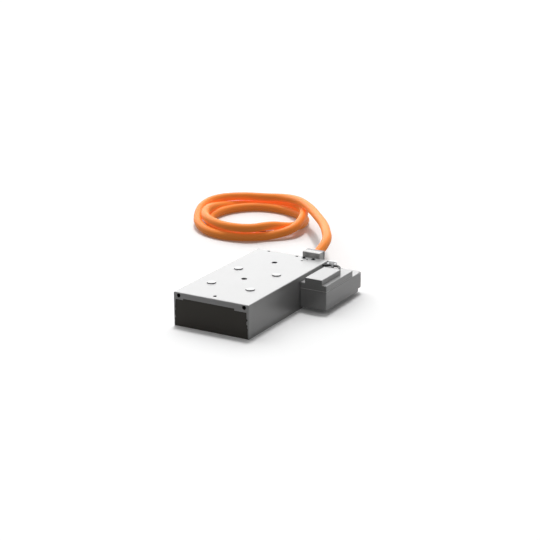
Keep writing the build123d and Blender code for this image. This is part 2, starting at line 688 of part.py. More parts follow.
def clamp_prongs():
    """Return the two prongs of the clamp block that the top screws pull against the plate."""
    half = TONGUE_WIDTH / 2
    front = REAR - TONGUE_LENGTH
    return [box(x - half, x + half, front, REAR, CLAMP_BOTTOM, CHANNEL_TOP) for x in CLAMP_SCREW_XS]


def clamp_block():
    """Return the front half of the cable clamp, with prongs, cable pocket and core duct."""
    left = CLAMP_X - CLAMP_WIDTH / 2
    right = CLAMP_X + CLAMP_WIDTH / 2
    block = box(left, right, REAR, CLAMP_SPLIT, CLAMP_BOTTOM, CLAMP_TOP)
    edges = block.edges().filter_by(Axis.Y).group_by(Axis.Z)[-1]
    edges += block.edges().filter_by(Axis.X).group_by(Axis.Z)[-1].sort_by(Axis.Y)[:1]
    edges += block.edges().filter_by(Axis.Z).group_by(Axis.Y)[0]
    block = fillet(edges, CLAMP_EDGE_RADIUS)
    for prong in clamp_prongs():
        block += prong
    block -= rod(JACKET_START, GLAND_AXIS, CABLE_DIAMETER, CLAMP_BLOCK_DEPTH + CLAMP_BACK_DEPTH)
    duct_half = (CLAMP_SCREW_SPACING - TONGUE_WIDTH) / 2
    duct_top = JACKET_START.Z + CORE_WIRE_DIAMETER
    duct_floor = CLAMP_BOTTOM + DUCT_FLOOR
    duct_rear = JACKET_START.Y + CORE_WIRE_DIAMETER / 2
    block -= box(CLAMP_X - duct_half, CLAMP_X + duct_half, REAR - 1, duct_rear, duct_floor, duct_top)
    for x in CLAMP_SCREW_XS:
        depth = UNIT_HEIGHT - CLAMP_BOTTOM
        block -= rod((x, CLAMP_SCREW_Y, CLAMP_BOTTOM - 1), (0, 0, 1), SCREW_DIAMETER, depth)
    for offset in DIMPLE_OFFSETS:
        mouth = (CLAMP_X + offset, REAR - 1, CLAMP_TOP - DIMPLE_DROP)
        block -= rod(mouth, (0, 1, 0), DIMPLE_DIAMETER, 1 + DIMPLE_DEPTH)
    for x in back_screw_xs():
        tip = CLAMP_REAR - SCREW_HEAD_HEIGHT - SCREW_LENGTH - SCREW_HOLE_SPARE
        block -= rod((x, tip, BACK_SCREW_HEIGHT), (0, 1, 0), SCREW_DIAMETER, CLAMP_BLOCK_DEPTH * 2)
    return block


def back_screw_xs():
    """Return where the screws of the clamp's rear half stand across the unit."""
    return (CLAMP_X - BACK_SCREW_SPACING / 2, CLAMP_X + BACK_SCREW_SPACING / 2)


def clamp_back():
    """Return the dark rear half of the cable clamp with its tilted bore."""
    left = CLAMP_X - CLAMP_WIDTH / 2
    right = CLAMP_X + CLAMP_WIDTH / 2
    block = box(left, right, CLAMP_SPLIT, CLAMP_REAR, CLAMP_BOTTOM, CLAMP_TOP)
    edges = block.edges().filter_by(Axis.Y).group_by(Axis.Z)[-1]
    edges += block.edges().group_by(Axis.Y)[-1].filter_by(Axis.X).sort_by(Axis.Z)[-1:]
    edges += block.edges().filter_by(Axis.Z).group_by(Axis.Y)[-1]
    block = fillet(edges, CLAMP_EDGE_RADIUS)
    block -= seal_envelope()
    for x in back_screw_xs():
        head = SCREW_HEAD_DIAMETER + 2 * SCREW_CLEARANCE
        shank = SCREW_DIAMETER + SCREW_CLEARANCE
        block -= rod((x, CLAMP_REAR + 1, BACK_SCREW_HEIGHT), (0, -1, 0), head, 1 + SCREW_HEAD_HEIGHT)
        block -= rod((x, CLAMP_REAR, BACK_SCREW_HEIGHT), (0, -1, 0), shank, CLAMP_BACK_DEPTH + 1)
    return block


def seal_envelope():
    """Return the tilted cylinder that the rubber seal fills."""
    reach = CLAMP_BLOCK_DEPTH + CLAMP_BACK_DEPTH
    diameter = CABLE_DIAMETER + 2 * SEAL_WALL
    return rod(GLAND_EXIT - GLAND_AXIS * reach, GLAND_AXIS, diameter, 2 * reach)


def cable_seal():
    """Return the rubber sleeve between the cable and the rear half of the clamp."""
    slab = box(
        CLAMP_X - CLAMP_WIDTH, CLAMP_X + CLAMP_WIDTH, CLAMP_SPLIT, CLAMP_REAR, CLAMP_BOTTOM, CLAMP_TOP
    )
    sleeve = seal_envelope() & slab
    reach = CLAMP_BLOCK_DEPTH + CLAMP_BACK_DEPTH
    return sleeve - rod(GLAND_EXIT - GLAND_AXIS * reach, GLAND_AXIS, CABLE_DIAMETER, 2 * reach)


def clamp_screws():
    """Return the two screws that go down through the plate into the clamp's prongs."""
    seat = UNIT_HEIGHT - SCREW_HEAD_HEIGHT - COUNTERBORE_SPARE
    points = [(x, CLAMP_SCREW_Y, seat) for x in CLAMP_SCREW_XS]
    return [cap_screw(point, (0, 0, -1), CLAMP_SCREW, SCREW_LENGTH) for point in points]


def clamp_back_screws():
    """Return the two screws that hold the clamp's halves together."""
    seat = CLAMP_REAR - SCREW_HEAD_HEIGHT
    points = [(x, seat, BACK_SCREW_HEIGHT) for x in back_screw_xs()]
    return [cap_screw(point, (0, -1, 0), CLAMP_SCREW, SCREW_LENGTH) for point in points]


def supply_cable():
    """Return the cable from inside the clamp to the coil."""
    return tube(LEAD_ROUTE, CABLE_DIAMETER, "supply_cable")


def end_direction():
    """Return the direction in which the cable's stripped end points."""
    return Vector(cos(radians(END_HEADING)), sin(radians(END_HEADING)), 0)


def end_start():
    """Return where the heat-shrink sleeve of the stripped end begins."""
    return Vector(END_START[0], END_START[1], CABLE_DIAMETER / 2 + SLEEVE_WALL)


def cable_coil(lead):
    """Return one closed ring with the outer shape of the coiled cable."""
    outline = Rot(0, 0, 90) * SlotOverall(COIL_LENGTH, COIL_WIDTH)
    ring = extrude(outline, COIL_HEIGHT)
    rims = ring.edges().group_by(Axis.Z)
    ring = Pos(*COIL_CENTRE, 0) * chamfer(rims[0] + rims[-1], COIL_CHAMFER)
    ring -= rod((*COIL_EYE_CENTRE, -1), (0, 0, 1), COIL_EYE_DIAMETER, COIL_HEIGHT + 2)
    ring += rod(end_start(), -end_direction(), CABLE_DIAMETER, END_STUB_LENGTH)
    return ring - lead


def end_sleeve():
    """Return the heat-shrink sleeve at the cable's free end."""
    return rod(end_start(), end_direction(), CABLE_DIAMETER + 2 * SLEEVE_WALL, SLEEVE_LENGTH)


def end_cores():
    """Return the four stripped cores with their ferrules."""
    start = end_start() + end_direction() * SLEEVE_LENGTH
    across = Vector(-end_direction().Y, end_direction().X, 0)
    cores = []
    for i in range(END_CORE_COUNT):
        angle = 2 * pi * (i + 0.5) / END_CORE_COUNT
        offset = across * (END_CORE_SPREAD * cos(angle)) + Vector(0, 0, END_CORE_SPREAD * sin(angle))
        base = start + offset
        core = rod(base, end_direction(), END_CORE_DIAMETER, END_CORE_LENGTH)
        core += rod(base, end_direction(), FERRULE_DIAMETER, END_CORE_LENGTH + FERRULE_LENGTH)
        cores.append(core)
    return cores


def head_box(front, rear, bottom, top):
    """Return a box of the sensor head's full width."""
    return box(HEAD_LEFT, HEAD_RIGHT, front, rear, bottom, top)


def cover_recess():
    """Return how far the cover screws' heads are let into the head's underside."""
    return COVER_SCREW_HEAD_HEIGHT + COUNTERBORE_SPARE


def spigot_hole(gap):
    """Return the end cap's spigot, or with no gap the recess that takes it."""
    inset = HEAD_WALL + SPIGOT_INSET + gap
    return box(
        HEAD_LEFT + inset,
        HEAD_RIGHT - inset,
        HEAD_REAR - CAP_SPIGOT + gap,
        HEAD_REAR,
        CAP_BOTTOM + SPIGOT_INSET + gap,
        HEAD_JOINT - SPIGOT_INSET - gap,
    )


def encoder_base():
    """Return the lower shell of the sensor head, with screw bosses in its corners."""
    base = head_box(HEAD_FRONT, HEAD_REAR, HEAD_BOTTOM, HEAD_JOINT)
    base = fillet(base.edges().filter_by(Axis.Z).group_by(Axis.Y)[0], HEAD_EDGE_RADIUS)
    floor = HEAD_BOTTOM + HEAD_FLOOR
    pocket = box(*POCKET, floor, HEAD_JOINT + 1)
    for x, y in COVER_BOSSES:
        pocket -= rod((x, y, HEAD_BOTTOM), (0, 0, 1), COVER_BOSS_DIAMETER, HEAD_JOINT)
    base -= pocket
    for x, y in COVER_BOSSES:
        head = COVER_SCREW_HEAD_DIAMETER + 2 * SCREW_CLEARANCE
        base -= rod((x, y, HEAD_BOTTOM), (0, 0, 1), COVER_SCREW_DIAMETER + SCREW_CLEARANCE, HEAD_JOINT)
        base -= rod((x, y, HEAD_BOTTOM), (0, 0, 1), head, cover_recess())
    for y in HEAD_SCREW_YS:
        shank = HEAD_SCREW_DIAMETER + SCREW_CLEARANCE
        base -= rod((HEAD_LEFT - 1, y, HEAD_SCREW_Z), (1, 0, 0), shank, HEAD_WALL + 2)
    return base - spigot_hole(0)


def lid_gasket():
    """Return the flat seal between the two shells of the sensor head."""
    ring = head_box(HEAD_FRONT, LID_REAR, HEAD_JOINT, LID_BOTTOM)
    ring = fillet(ring.edges().filter_by(Axis.Z).group_by(Axis.Y)[0], HEAD_EDGE_RADIUS)
    hole = box(*POCKET, HEAD_JOINT - 1, LID_BOTTOM + 1)
    for x, y in COVER_BOSSES:
        hole -= rod((x, y, HEAD_BOTTOM), (0, 0, 1), COVER_BOSS_DIAMETER, UNIT_HEIGHT)
    ring -= hole
    for x, y in COVER_BOSSES:
        ring -= rod((x, y, HEAD_BOTTOM), (0, 0, 1), COVER_SCREW_DIAMETER + SCREW_CLEARANCE, UNIT_HEIGHT)
    return ring


def encoder_lid():
    """Return the upper shell of the sensor head with its raised middle."""
    lid = head_box(HEAD_FRONT, LID_REAR, LID_BOTTOM, LID_TOP)
    lid = fillet(lid.edges().filter_by(Axis.Z).group_by(Axis.Y)[0], HEAD_EDGE_RADIUS)
    lid = chamfer(lid.edges().filter_by(Axis.Y).group_by(Axis.Z)[-1], LID_EDGE_CHAMFER)
    raised = box(RAISED_LEFT, RAISED_RIGHT, HEAD_FRONT, RAISED_REAR, LID_TOP - 1, UNIT_HEIGHT)
    raised = chamfer(raised.edges().filter_by(Axis.Y).group_by(Axis.Z)[-1], LID_EDGE_CHAMFER)
    lid += raised
    pocket = box(*POCKET, LID_BOTTOM - 1, LID_TOP - LID_WALL)
    for x, y in COVER_BOSSES:
        pocket -= rod((x, y, HEAD_BOTTOM), (0, 0, 1), COVER_BOSS_DIAMETER, UNIT_HEIGHT)
    pocket += box(
        RAISED_LEFT + LID_WALL,
        RAISED_RIGHT - LID_WALL,
        HEAD_FRONT + HEAD_WALL,
        RAISED_REAR - LID_WALL,
        LID_TOP - LID_WALL - 1,
        UNIT_HEIGHT - LID_WALL,
    )
    lid -= pocket
    for x, y in COVER_BOSSES:
        depth = 1 + COVER_SCREW_GRIP + SCREW_HOLE_SPARE
        lid -= rod((x, y, LID_BOTTOM - 1), (0, 0, 1), COVER_SCREW_DIAMETER, depth)
    for route in WIRE_ROUTES:
        x, _, z = route[0]
        neck = WIRE_DIAMETER + 2 * GROMMET_WALL
        lid -= rod((x, RAISED_REAR - LID_WALL - 1, z), (0, 1, 0), neck, LID_WALL + 2)
    return lid


def encoder_end_cap():
    """Return the rounded cap at the rear of the sensor head."""
    cap = head_box(HEAD_REAR, HEAD_REAR + CAP_LENGTH, CAP_BOTTOM, HEAD_JOINT)
    cap = fillet(cap.edges().filter_by(Axis.Z).group_by(Axis.Y)[-1], CAP_CORNER_RADIUS)
    top = cap.faces().sort_by(Axis.Z)[-1]
    cap = chamfer(top.edges().sort_by(Axis.Y)[1:], CAP_TOP_CHAMFER)
    return cap + spigot_hole(FIT_GAP)


def board_corners():
    """Return where the sensor board's screws stand."""
    return [
        (x, y)
        for x in (BOARD_LEFT + STANDOFF_INSET, BOARD_RIGHT - STANDOFF_INSET)
        for y in (BOARD_FRONT + STANDOFF_INSET, BOARD_REAR - STANDOFF_INSET)
    ]


def encoder_board():
    """Return the sensor board with its screw holes."""
    top = BOARD_HEIGHT + BOARD_THICKNESS
    board = box(BOARD_LEFT, BOARD_RIGHT, BOARD_FRONT, BOARD_REAR, BOARD_HEIGHT, top)
    for x, y in board_corners():
        board -= rod((x, y, BOARD_HEIGHT - 1), (0, 0, 1), COVER_SCREW_DIAMETER + SCREW_CLEARANCE, 5)
    return board


def board_standoffs():
    """Return the four posts that carry the sensor board."""
    floor = HEAD_BOTTOM + HEAD_FLOOR
    posts = []
    for x, y in board_corners():
        post = rod((x, y, floor), (0, 0, 1), STANDOFF_DIAMETER, BOARD_HEIGHT - floor)
        post -= rod((x, y, floor + 1), (0, 0, 1), COVER_SCREW_DIAMETER, BOARD_HEIGHT)
        posts.append(post)
    return posts


def board_screws():
    """Return the four screws that hold the sensor board on its posts."""
    seat = BOARD_HEIGHT + BOARD_THICKNESS
    return [cap_screw((x, y, seat), (0, 0, -1), COVER_SCREW, BOARD_SCREW_LENGTH) for x, y in board_corners()]


def field_sensors():
    """Return the magnetic field sensors under the board."""
    chip = Box(SENSOR_SIZE, SENSOR_SIZE, SENSOR_HEIGHT)
    height = BOARD_HEIGHT - SENSOR_HEIGHT / 2
    steps = [i - (SENSOR_COUNT - 1) / 2 for i in range(SENSOR_COUNT)]
    return [Pos(BOARD_X, BOARD_Y + step * SENSOR_PITCH, height) * chip for step in steps]


def signal_chip():
    """Return the signal processor on top of the board."""
    top = BOARD_HEIGHT + BOARD_THICKNESS
    chip = Box(CHIP_SIZE, CHIP_SIZE, CHIP_HEIGHT)
    return Pos(BOARD_X, BOARD_Y + CHIP_OFFSET, top + CHIP_HEIGHT / 2) * chip


def board_header():
    """Return the header that the wires plug into."""
    top = BOARD_HEIGHT + BOARD_THICKNESS
    y = BOARD_REAR - PLUG_HEADER_DEPTH / 2 - PLUG_HEADER_INSET
    outline = Rectangle(PLUG_HEADER_WIDTH, PLUG_HEADER_DEPTH)
    hollow = Rectangle(PLUG_HEADER_WIDTH - 2 * PLUG_HEADER_WALL, PLUG_HEADER_DEPTH - 2 * PLUG_HEADER_WALL)
    floor = PLUG_HEADER_HEIGHT - PLUG_HEADER_MOUTH
    header = extrude(outline, floor) + Pos(0, 0, floor) * extrude(outline - hollow, PLUG_HEADER_MOUTH)
    return Pos(BOARD_X, y, top) * header


def cover_screws():
    """Return the four screws that hold the lid, from the head's underside."""
    seat = HEAD_BOTTOM + cover_recess()
    length = LID_BOTTOM + COVER_SCREW_GRIP - seat
    return [cap_screw((x, y, seat), (0, 0, 1), COVER_SCREW, length) for x, y in COVER_BOSSES]


def head_shim():
    """Return the thin plate between the sensor head and the unit's side."""
    front = HEAD_SCREW_YS[0] - SHIM_MARGIN
    rear = HEAD_SCREW_YS[-1] + SHIM_MARGIN
    shim = box(SIDE, HEAD_LEFT, front, rear, HEAD_SCREW_Z - SHIM_MARGIN, HEAD_SCREW_Z + SHIM_MARGIN)
    for y in HEAD_SCREW_YS:
        shim -= rod((SIDE - 1, y, HEAD_SCREW_Z), (1, 0, 0), HEAD_SCREW_DIAMETER + SCREW_CLEARANCE, 3)
    return shim


def insert_envelopes():
    """Return the solid space of each threaded bush, for the resin round it."""
    start = INSIDE_RIGHT - INSERT_LENGTH
    return [rod((start, y, HEAD_SCREW_Z), (1, 0, 0), INSERT_DIAMETER, INSERT_LENGTH) for y in HEAD_SCREW_YS]


def head_inserts():
    """Return the threaded bushes in the resin that the head's screws pull on."""
    bushes = []
    for y, bush in zip(HEAD_SCREW_YS, insert_envelopes()):
        thread = (INSIDE_RIGHT - INSERT_LENGTH - 1, y, HEAD_SCREW_Z)
        bushes.append(bush - rod(thread, (1, 0, 0), HEAD_SCREW_DIAMETER, INSERT_LENGTH + 2))
    return bushes


def head_screws():
    """Return the two screws that hold the sensor head to the unit's side."""
    seat = HEAD_LEFT + HEAD_WALL
    shank = seat - INSIDE_RIGHT + INSERT_LENGTH - INSERT_SPARE
    return [cap_screw((seat, y, HEAD_SCREW_Z), (-1, 0, 0), HEAD_SCREW, shank) for y in HEAD_SCREW_YS]


def wire_grommets():
    """Return the rubber grommets where the wires leave the raised lid."""
    grommets = []
    for route in WIRE_ROUTES:
        x, _, z = route[0]
        ring = rod((x, RAISED_REAR, z), (0, 1, 0), GROMMET_DIAMETER, GROMMET_FLANGE)
        neck = WIRE_DIAMETER + 2 * GROMMET_WALL
        ring += rod((x, RAISED_REAR - LID_WALL, z), (0, 1, 0), neck, LID_WALL + GROMMET_FLANGE)
        grommets.append(ring)
    return grommets


def wire_clip():
    """Return the bent holder beside the unit's rear corner, which the wires are tied to."""
    front = WIRE_ROUTES[-1][-1][1] + WIRE_DIAMETER / 2 + WIRE_CLIP_CLEARANCE
    right = SIDE + CLIP_WIDTH
    clip = box(SIDE, right, REAR - CLIP_THICKNESS, REAR, LID_TOP, UNIT_HEIGHT)
    clip += box(SIDE, SIDE + CLIP_THICKNESS, front, REAR, LID_TOP, UNIT_HEIGHT - CLIP_FLANGE_DROP)
    bend = clip.edges().filter_by(Axis.Z).group_by(Axis.Y)[-1].sort_by(Axis.X)[:1]
    clip = fillet(bend, CLIP_BEND_RADIUS)
    corners = clip.edges().filter_by(Axis.Y).group_by(Axis.X)[-1]
    clip = fillet(corners, CLIP_BEND_RADIUS)
    shank = CLIP_SCREW_DIAMETER + SCREW_CLEARANCE
    clip -= rod((SIDE - 1, clip_screw_y(), clip_screw_z()), (1, 0, 0), shank, CLIP_THICKNESS + 2)
    eye = (right - CLIP_EYE_INSET, REAR + 1, UNIT_HEIGHT - CLIP_EYE_INSET)
    clip -= rod(eye, (0, -1, 0), CLIP_EYE_DIAMETER, CLIP_THICKNESS + 2)
    return clip


def clip_screw():
    """Return the screw of the wire clip."""
    seat = (SIDE + CLIP_THICKNESS, clip_screw_y(), clip_screw_z())
    return cap_screw(seat, (-1, 0, 0), CLIP_SCREW, CLIP_SCREW_LENGTH)


def signal_wires():
    """Return the two black wires from the sensor head into the unit."""
    return [tube(route, WIRE_DIAMETER, "signal_wire") for route in WIRE_ROUTES]


def build():
    """Return every node of the model by name."""
    nodes = {}
    nodes["housing"] = housing()
    nodes["lamination_core"] = lamination_core()
    rivets = core_rivets()
    wedges = slot_wedges()
    liners = slot_liners()
    coils = [phase_coils(phase) for phase in range(3)]
    bars = busbars()
    board = terminal_board()
    sensor = thermistor()
    cores = supply_cores()
    inner = [nodes["lamination_core"], board, sensor, core_window()]
    inner += rivets + wedges + bars + clamp_prongs() + insert_envelopes()
    inner += [coil_envelope(y) + liner_envelope(y) for y in TOOTH_YS]
    nodes["potting_resin"] = potting(inner)
    nodes["core_rivets"] = rivets
    nodes["slot_wedges"] = wedges
    nodes["slot_liners"] = liners
    nodes["coils_phase_u"] = coils[0]
    nodes["coils_phase_v"] = coils[1]
    nodes["coils_phase_w"] = coils[2]
    nodes["phase_busbars"] = bars
    nodes["terminal_board"] = board
    nodes["winding_thermistor"] = sensor
    nodes["supply_cores"] = cores
    nodes["seating_pads"] = seating_pads()
    nodes["clamp_block"] = clamp_block()
    nodes["clamp_back"] = clamp_back()
    nodes["cable_seal"] = cable_seal()
    nodes["clamp_screws"] = clamp_screws()
    nodes["clamp_back_screws"] = clamp_back_screws()
    nodes["encoder_base"] = encoder_base()
    nodes["lid_gasket"] = lid_gasket()
    nodes["encoder_lid"] = encoder_lid()
    nodes["encoder_end_cap"] = encoder_end_cap()
    nodes["encoder_board"] = encoder_board()
    nodes["board_standoffs"] = board_standoffs()
    nodes["board_screws"] = board_screws()
    nodes["field_sensors"] = field_sensors()
    nodes["signal_chip"] = signal_chip()
    nodes["board_header"] = board_header()
    nodes["cover_screws"] = cover_screws()
    nodes["head_shim"] = head_shim()
    nodes["head_inserts"] = head_inserts()
    nodes["head_screws"] = head_screws()
    wires = signal_wires()
    nodes["wire_grommets"] = [ring - wire for ring, wire in zip(wire_grommets(), wires)]
    nodes["wire_clip"] = wire_clip()
    nodes["clip_screw"] = clip_screw()
    nodes["signal_wires"] = wires
    lead = supply_cable()
    nodes["supply_cable"] = lead
    nodes["supply_cable_coil"] = cable_coil(lead)
    nodes["cable_end_sleeve"] = end_sleeve()
    nodes["cable_end_cores"] = end_cores()
    return nodes


def main():
    """Build every node and write one file for each."""
    os.makedirs("parts", exist_ok=True)
    for name, shape in build().items():
        if isinstance(shape, list):
            shape = Compound(children=[Part(s.wrapped) for s in shape])
        shape.label = name
        export_step(shape, f"parts/{name}.step")


main()
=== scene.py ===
"""Looks of a linear motor's coil unit with its sensor head and coiled cable.

Lengths are in millimetres where nothing else is said, in the CAD frame: the origin is in the middle
of the coil unit's air-gap face, X points to the right, Y to the rear and Z up.
"""

import logging
import math
from collections.abc import Callable, Sequence
from dataclasses import dataclass
from enum import Enum

import bmesh
import bpy
from mathutils import Matrix, Vector


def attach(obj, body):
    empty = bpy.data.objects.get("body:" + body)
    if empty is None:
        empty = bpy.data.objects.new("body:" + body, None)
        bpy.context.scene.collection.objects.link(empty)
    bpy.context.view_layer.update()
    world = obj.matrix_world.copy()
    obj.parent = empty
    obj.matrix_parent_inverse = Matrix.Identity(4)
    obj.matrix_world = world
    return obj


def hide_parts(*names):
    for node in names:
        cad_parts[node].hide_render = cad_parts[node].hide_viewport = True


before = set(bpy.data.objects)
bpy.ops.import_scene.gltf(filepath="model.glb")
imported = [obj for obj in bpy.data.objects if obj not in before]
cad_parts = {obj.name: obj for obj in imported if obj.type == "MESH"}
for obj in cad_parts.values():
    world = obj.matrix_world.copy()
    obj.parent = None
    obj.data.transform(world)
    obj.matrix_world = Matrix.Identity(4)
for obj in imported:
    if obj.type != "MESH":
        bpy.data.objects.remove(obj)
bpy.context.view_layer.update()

log = logging.getLogger("linear_motor")
Point = tuple[float, float, float]

MM = 0.001  # metres in a millimetre
AT_END = 0.999  # a vertex past this share of a length is at its end
ON_RIM = 0.49  # a vertex past this share of a diameter from the axis is on the rim
FACING = 0.9  # a face turned this far along an axis faces along it
BESIDE = 0.1  # a face turned less than this along an axis stands beside it
STEEP = 0.5  # a face turned less than this upwards belongs to a piece's side
MERGED = 0.002  # vertices nearer than this are one
FLAT = 0.6  # faces that meet at less than this, in degrees, make one flat face
SHARP = 40.0  # an edge that turns by more than this, in degrees, is sharp
TUBE_ROUNDNESS = 6  # how finely a tube's section is drawn
OWN_WEIGHT = 0.75  # a control point's own share in where the smooth line passes it
GRAIN_OCTAVES = 3.0  # levels of detail in grain and clouds
LINE_OCTAVES = 2.0  # levels of detail in cutter lines
WAVE_LENGTH = 2 * math.pi / 20  # length of one band of the wave texture at a scale of one
WHITE = "#FFFFFF"
# Painted shade: the colour laid inside the unit's holes
HOLE_SHADE = "#2B2B2C"

# Inputs of the Mix node: its share, its two numbers and its two colours; then its outputs
SHARE, NUMBER_A, NUMBER_B, COLOUR_A, COLOUR_B = 0, 2, 3, 6, 7
MIXED_NUMBER, MIXED_COLOUR = 0, 2


class Slot(Enum):
    """Material slots of the record."""

    UNIT_ALUMINIUM = "unit_aluminium"
    RESIN = "resin"
    CORE_STEEL = "core_steel"
    BRIGHT_STEEL = "bright_steel"
    INSULATION = "insulation"
    COPPER = "copper"
    CIRCUIT_BOARD = "circuit_board"
    CORE_SHEATH = "core_sheath"
    PAD_STEEL = "pad_steel"
    CLAMP_ALUMINIUM = "clamp_aluminium"
    CLAMP_DARK = "clamp_dark"
    BLACK_RUBBER = "black_rubber"
    BLACK_STEEL = "black_steel"
    HEAD_ALUMINIUM = "head_aluminium"
    GASKET_RUBBER = "gasket_rubber"
    BRASS = "brass"
    CHIP_BLACK = "chip_black"
    HEADER_WHITE = "header_white"
    CLIP_STEEL = "clip_steel"
    BLACK_SHEATH = "black_sheath"
    ORANGE_JACKET = "orange_jacket"


class Axis(Enum):
    """Directions of a round bar, each with the turn that brings an upright bar there."""

    X = (0.0, math.pi / 2, 0.0)
    Y = (-math.pi / 2, 0.0, 0.0)
    Z = (0.0, 0.0, 0.0)


class Side(Enum):
    """Sides of the coil unit that holes open in, each with the directions across such a hole."""

    TOP = (1.0, 1.0, 0.0)
    FRONT = (1.0, 0.0, 1.0)


def linear(hex_colour: str) -> tuple[float, float, float, float]:
    """Turn an sRGB hex colour to the linear values that a shader takes.

    Args:
        hex_colour: Six hex digits after a #.

    Returns:
        Red, green, blue and an alpha of one.
    """
    digits = hex_colour.lstrip("#")
    channels = [int(digits[i : i + 2], 16) / 255 for i in (0, 2, 4)]
    straight = [c / 12.92 if c <= 0.04045 else ((c + 0.055) / 1.055) ** 2.4 for c in channels]
    return (*straight, 1.0)


def add_node(
    tree: bpy.types.NodeTree, kind: str, settings: dict | None = None, inputs: dict | None = None
) -> bpy.types.Node:
    """Add a node with its settings, values and links.

    Args:
        tree: The node tree that the node goes in.
        kind: The node's type name.
        settings: Properties of the node by name.
        inputs: Values or output sockets by input name or number.

    Returns:
        The new node.
    """
    node = tree.nodes.new(kind)
    for name, value in (settings or {}).items():
        setattr(node, name, value)
    for name, value in (inputs or {}).items():
        if isinstance(value, bpy.types.NodeSocket):
            tree.links.new(value, node.inputs[name])
        else:
            node.inputs[name].default_value = value
    return node


@dataclass(frozen=True)
class Finish:
    """A surface finish: the shader's values, and a pattern that each kind draws in its own way.

    Attributes:
        name: The material's name.
        colour: Main colour as sRGB hex.
        second: The colour that the pattern moves towards, as sRGB hex.
        roughness: Roughness in the middle of the pattern.
        metallic: One for a bare metal.
        ior: Index of refraction of a non-metal.
        grain: Size of the pattern's grain.
        depth: Depth of the bump.
        wander: Share by which the pattern moves the roughness each way.
    """

    name: str
    colour: str
    second: str
    roughness: float
    metallic: float = 0.0
    ior: float = 1.5
    grain: float = 0.6
    depth: float = 0.02
    wander: float = 0.12

    def material(self) -> bpy.types.Material:
        """Make the material, or find the one already made.

        Returns:
            The material.
        """
        known = bpy.data.materials.get(self.name)
        if known is not None:
            return known
        made = bpy.data.materials.new(self.name)
        made.use_nodes = True
        tree = made.node_tree
        shader = tree.nodes["Principled BSDF"]
        shader.inputs["Metallic"].default_value = self.metallic
        if self.metallic < 0.5:
            shader.inputs["IOR"].default_value = self.ior
        self.details(shader)
        where = add_node(tree, "ShaderNodeTexCoord").outputs["Object"]
        pattern = self.pattern(tree, where)
        both = {SHARE: pattern, COLOUR_A: linear(self.colour), COLOUR_B: linear(self.second)}
        mixed = add_node(tree, "ShaderNodeMix", {"data_type": "RGBA"}, both)
        # Painted shade: where shade() masks a place, the colour goes to HOLE_SHADE
        dark = self.shade(tree, where)
        if dark is not None:
            paint = mixed.outputs[MIXED_COLOUR]
            both = {SHARE: dark, COLOUR_A: paint, COLOUR_B: linear(HOLE_SHADE)}
            mixed = add_node(tree, "ShaderNodeMix", {"data_type": "RGBA"}, both)
        tree.links.new(mixed.outputs[MIXED_COLOUR], shader.inputs["Base Color"])
        limits = {
            "Value": pattern,
            "To Min": self.roughness * (1 - self.wander),
            "To Max": min(1.0, self.roughness * (1 + self.wander)),
        }
        rough = add_node(tree, "ShaderNodeMapRange", {}, limits)
        tree.links.new(rough.outputs[0], shader.inputs["Roughness"])
        relief = {"Distance": self.depth * MM, "Height": pattern}
        bump = add_node(tree, "ShaderNodeBump", {}, relief)
        tree.links.new(bump.outputs[0], shader.inputs["Normal"])
        return made

    def details(self, shader: bpy.types.Node) -> None:
        """Set further sockets of the shader. A plain finish has none."""

    def shade(
        self, tree: bpy.types.NodeTree, where: bpy.types.NodeSocket
    ) -> bpy.types.NodeSocket | None:
        """Mask the places where shade is painted, darker than the rest. A plain finish has none."""
        return None

    def pattern(
        self, tree: bpy.types.NodeTree, where: bpy.types.NodeSocket
    ) -> bpy.types.NodeSocket:
        """Draw the finish's even grain.

        Args:
            tree: The material's node tree.
            where: Object coordinates, in metres.

        Returns:
            The socket with the pattern's value, from 0 to 1.
        """
        grain = {"Vector": where, "Scale": 1 / (self.grain * MM), "Detail": GRAIN_OCTAVES}
        return add_node(tree, "ShaderNodeTexNoise", {}, grain).outputs["Fac"]


@dataclass(frozen=True)
class Machined(Finish):
    """Metal with fine lines left by a cutter or a roller.

    Attributes:
        stretch: How far the grain is drawn out along each axis.
        cloud: Size of the faint clouds that handling and anodising leave.
        cloud_share: Share of the clouds in the pattern.
    """

    stretch: Point = (1.0, 30.0, 1.0)
    cloud: float = 28.0
    cloud_share: float = 0.35

    def pattern(
        self, tree: bpy.types.NodeTree, where: bpy.types.NodeSocket
    ) -> bpy.types.NodeSocket:
        """Draw long cutter lines over slow clouds.

        Args:
            tree: The material's node tree.
            where: Object coordinates, in metres.

        Returns:
            The socket with the pattern's value, from 0 to 1.
        """
        squeeze = {"Vector": where, "Scale": tuple(1 / s for s in self.stretch)}
        drawn = add_node(tree, "ShaderNodeMapping", {}, squeeze).outputs[0]
        lines = {"Vector": drawn, "Scale": 1 / (self.grain * MM), "Detail": LINE_OCTAVES}
        fine = add_node(tree, "ShaderNodeTexNoise", {}, lines).outputs["Fac"]
        slow = {"Vector": where, "Scale": 1 / (self.cloud * MM), "Detail": GRAIN_OCTAVES}
        clouds = add_node(tree, "ShaderNodeTexNoise", {}, slow).outputs["Fac"]
        both = {SHARE: self.cloud_share, NUMBER_A: fine, NUMBER_B: clouds}
        return add_node(tree, "ShaderNodeMix", {}, both).outputs[MIXED_NUMBER]


@dataclass(frozen=True)
class Hole:
    """A hole in the coil unit.

    Attributes:
        side: The side that it opens in.
        across: Its middle along X.
        along: Its middle along Y in the top, or along Z in the front.
        radius: Its radius.
    """

    side: Side
    across: float
    along: float
    radius: float

    def centre(self) -> Point:
        """Give its middle across its own direction.

        Returns:
            The middle, in metres.
        """
        upright = self.side is Side.TOP
        return (
            self.across * MM,
            self.along * MM if upright else 0.0,
            0.0 if upright else self.along * MM,
        )


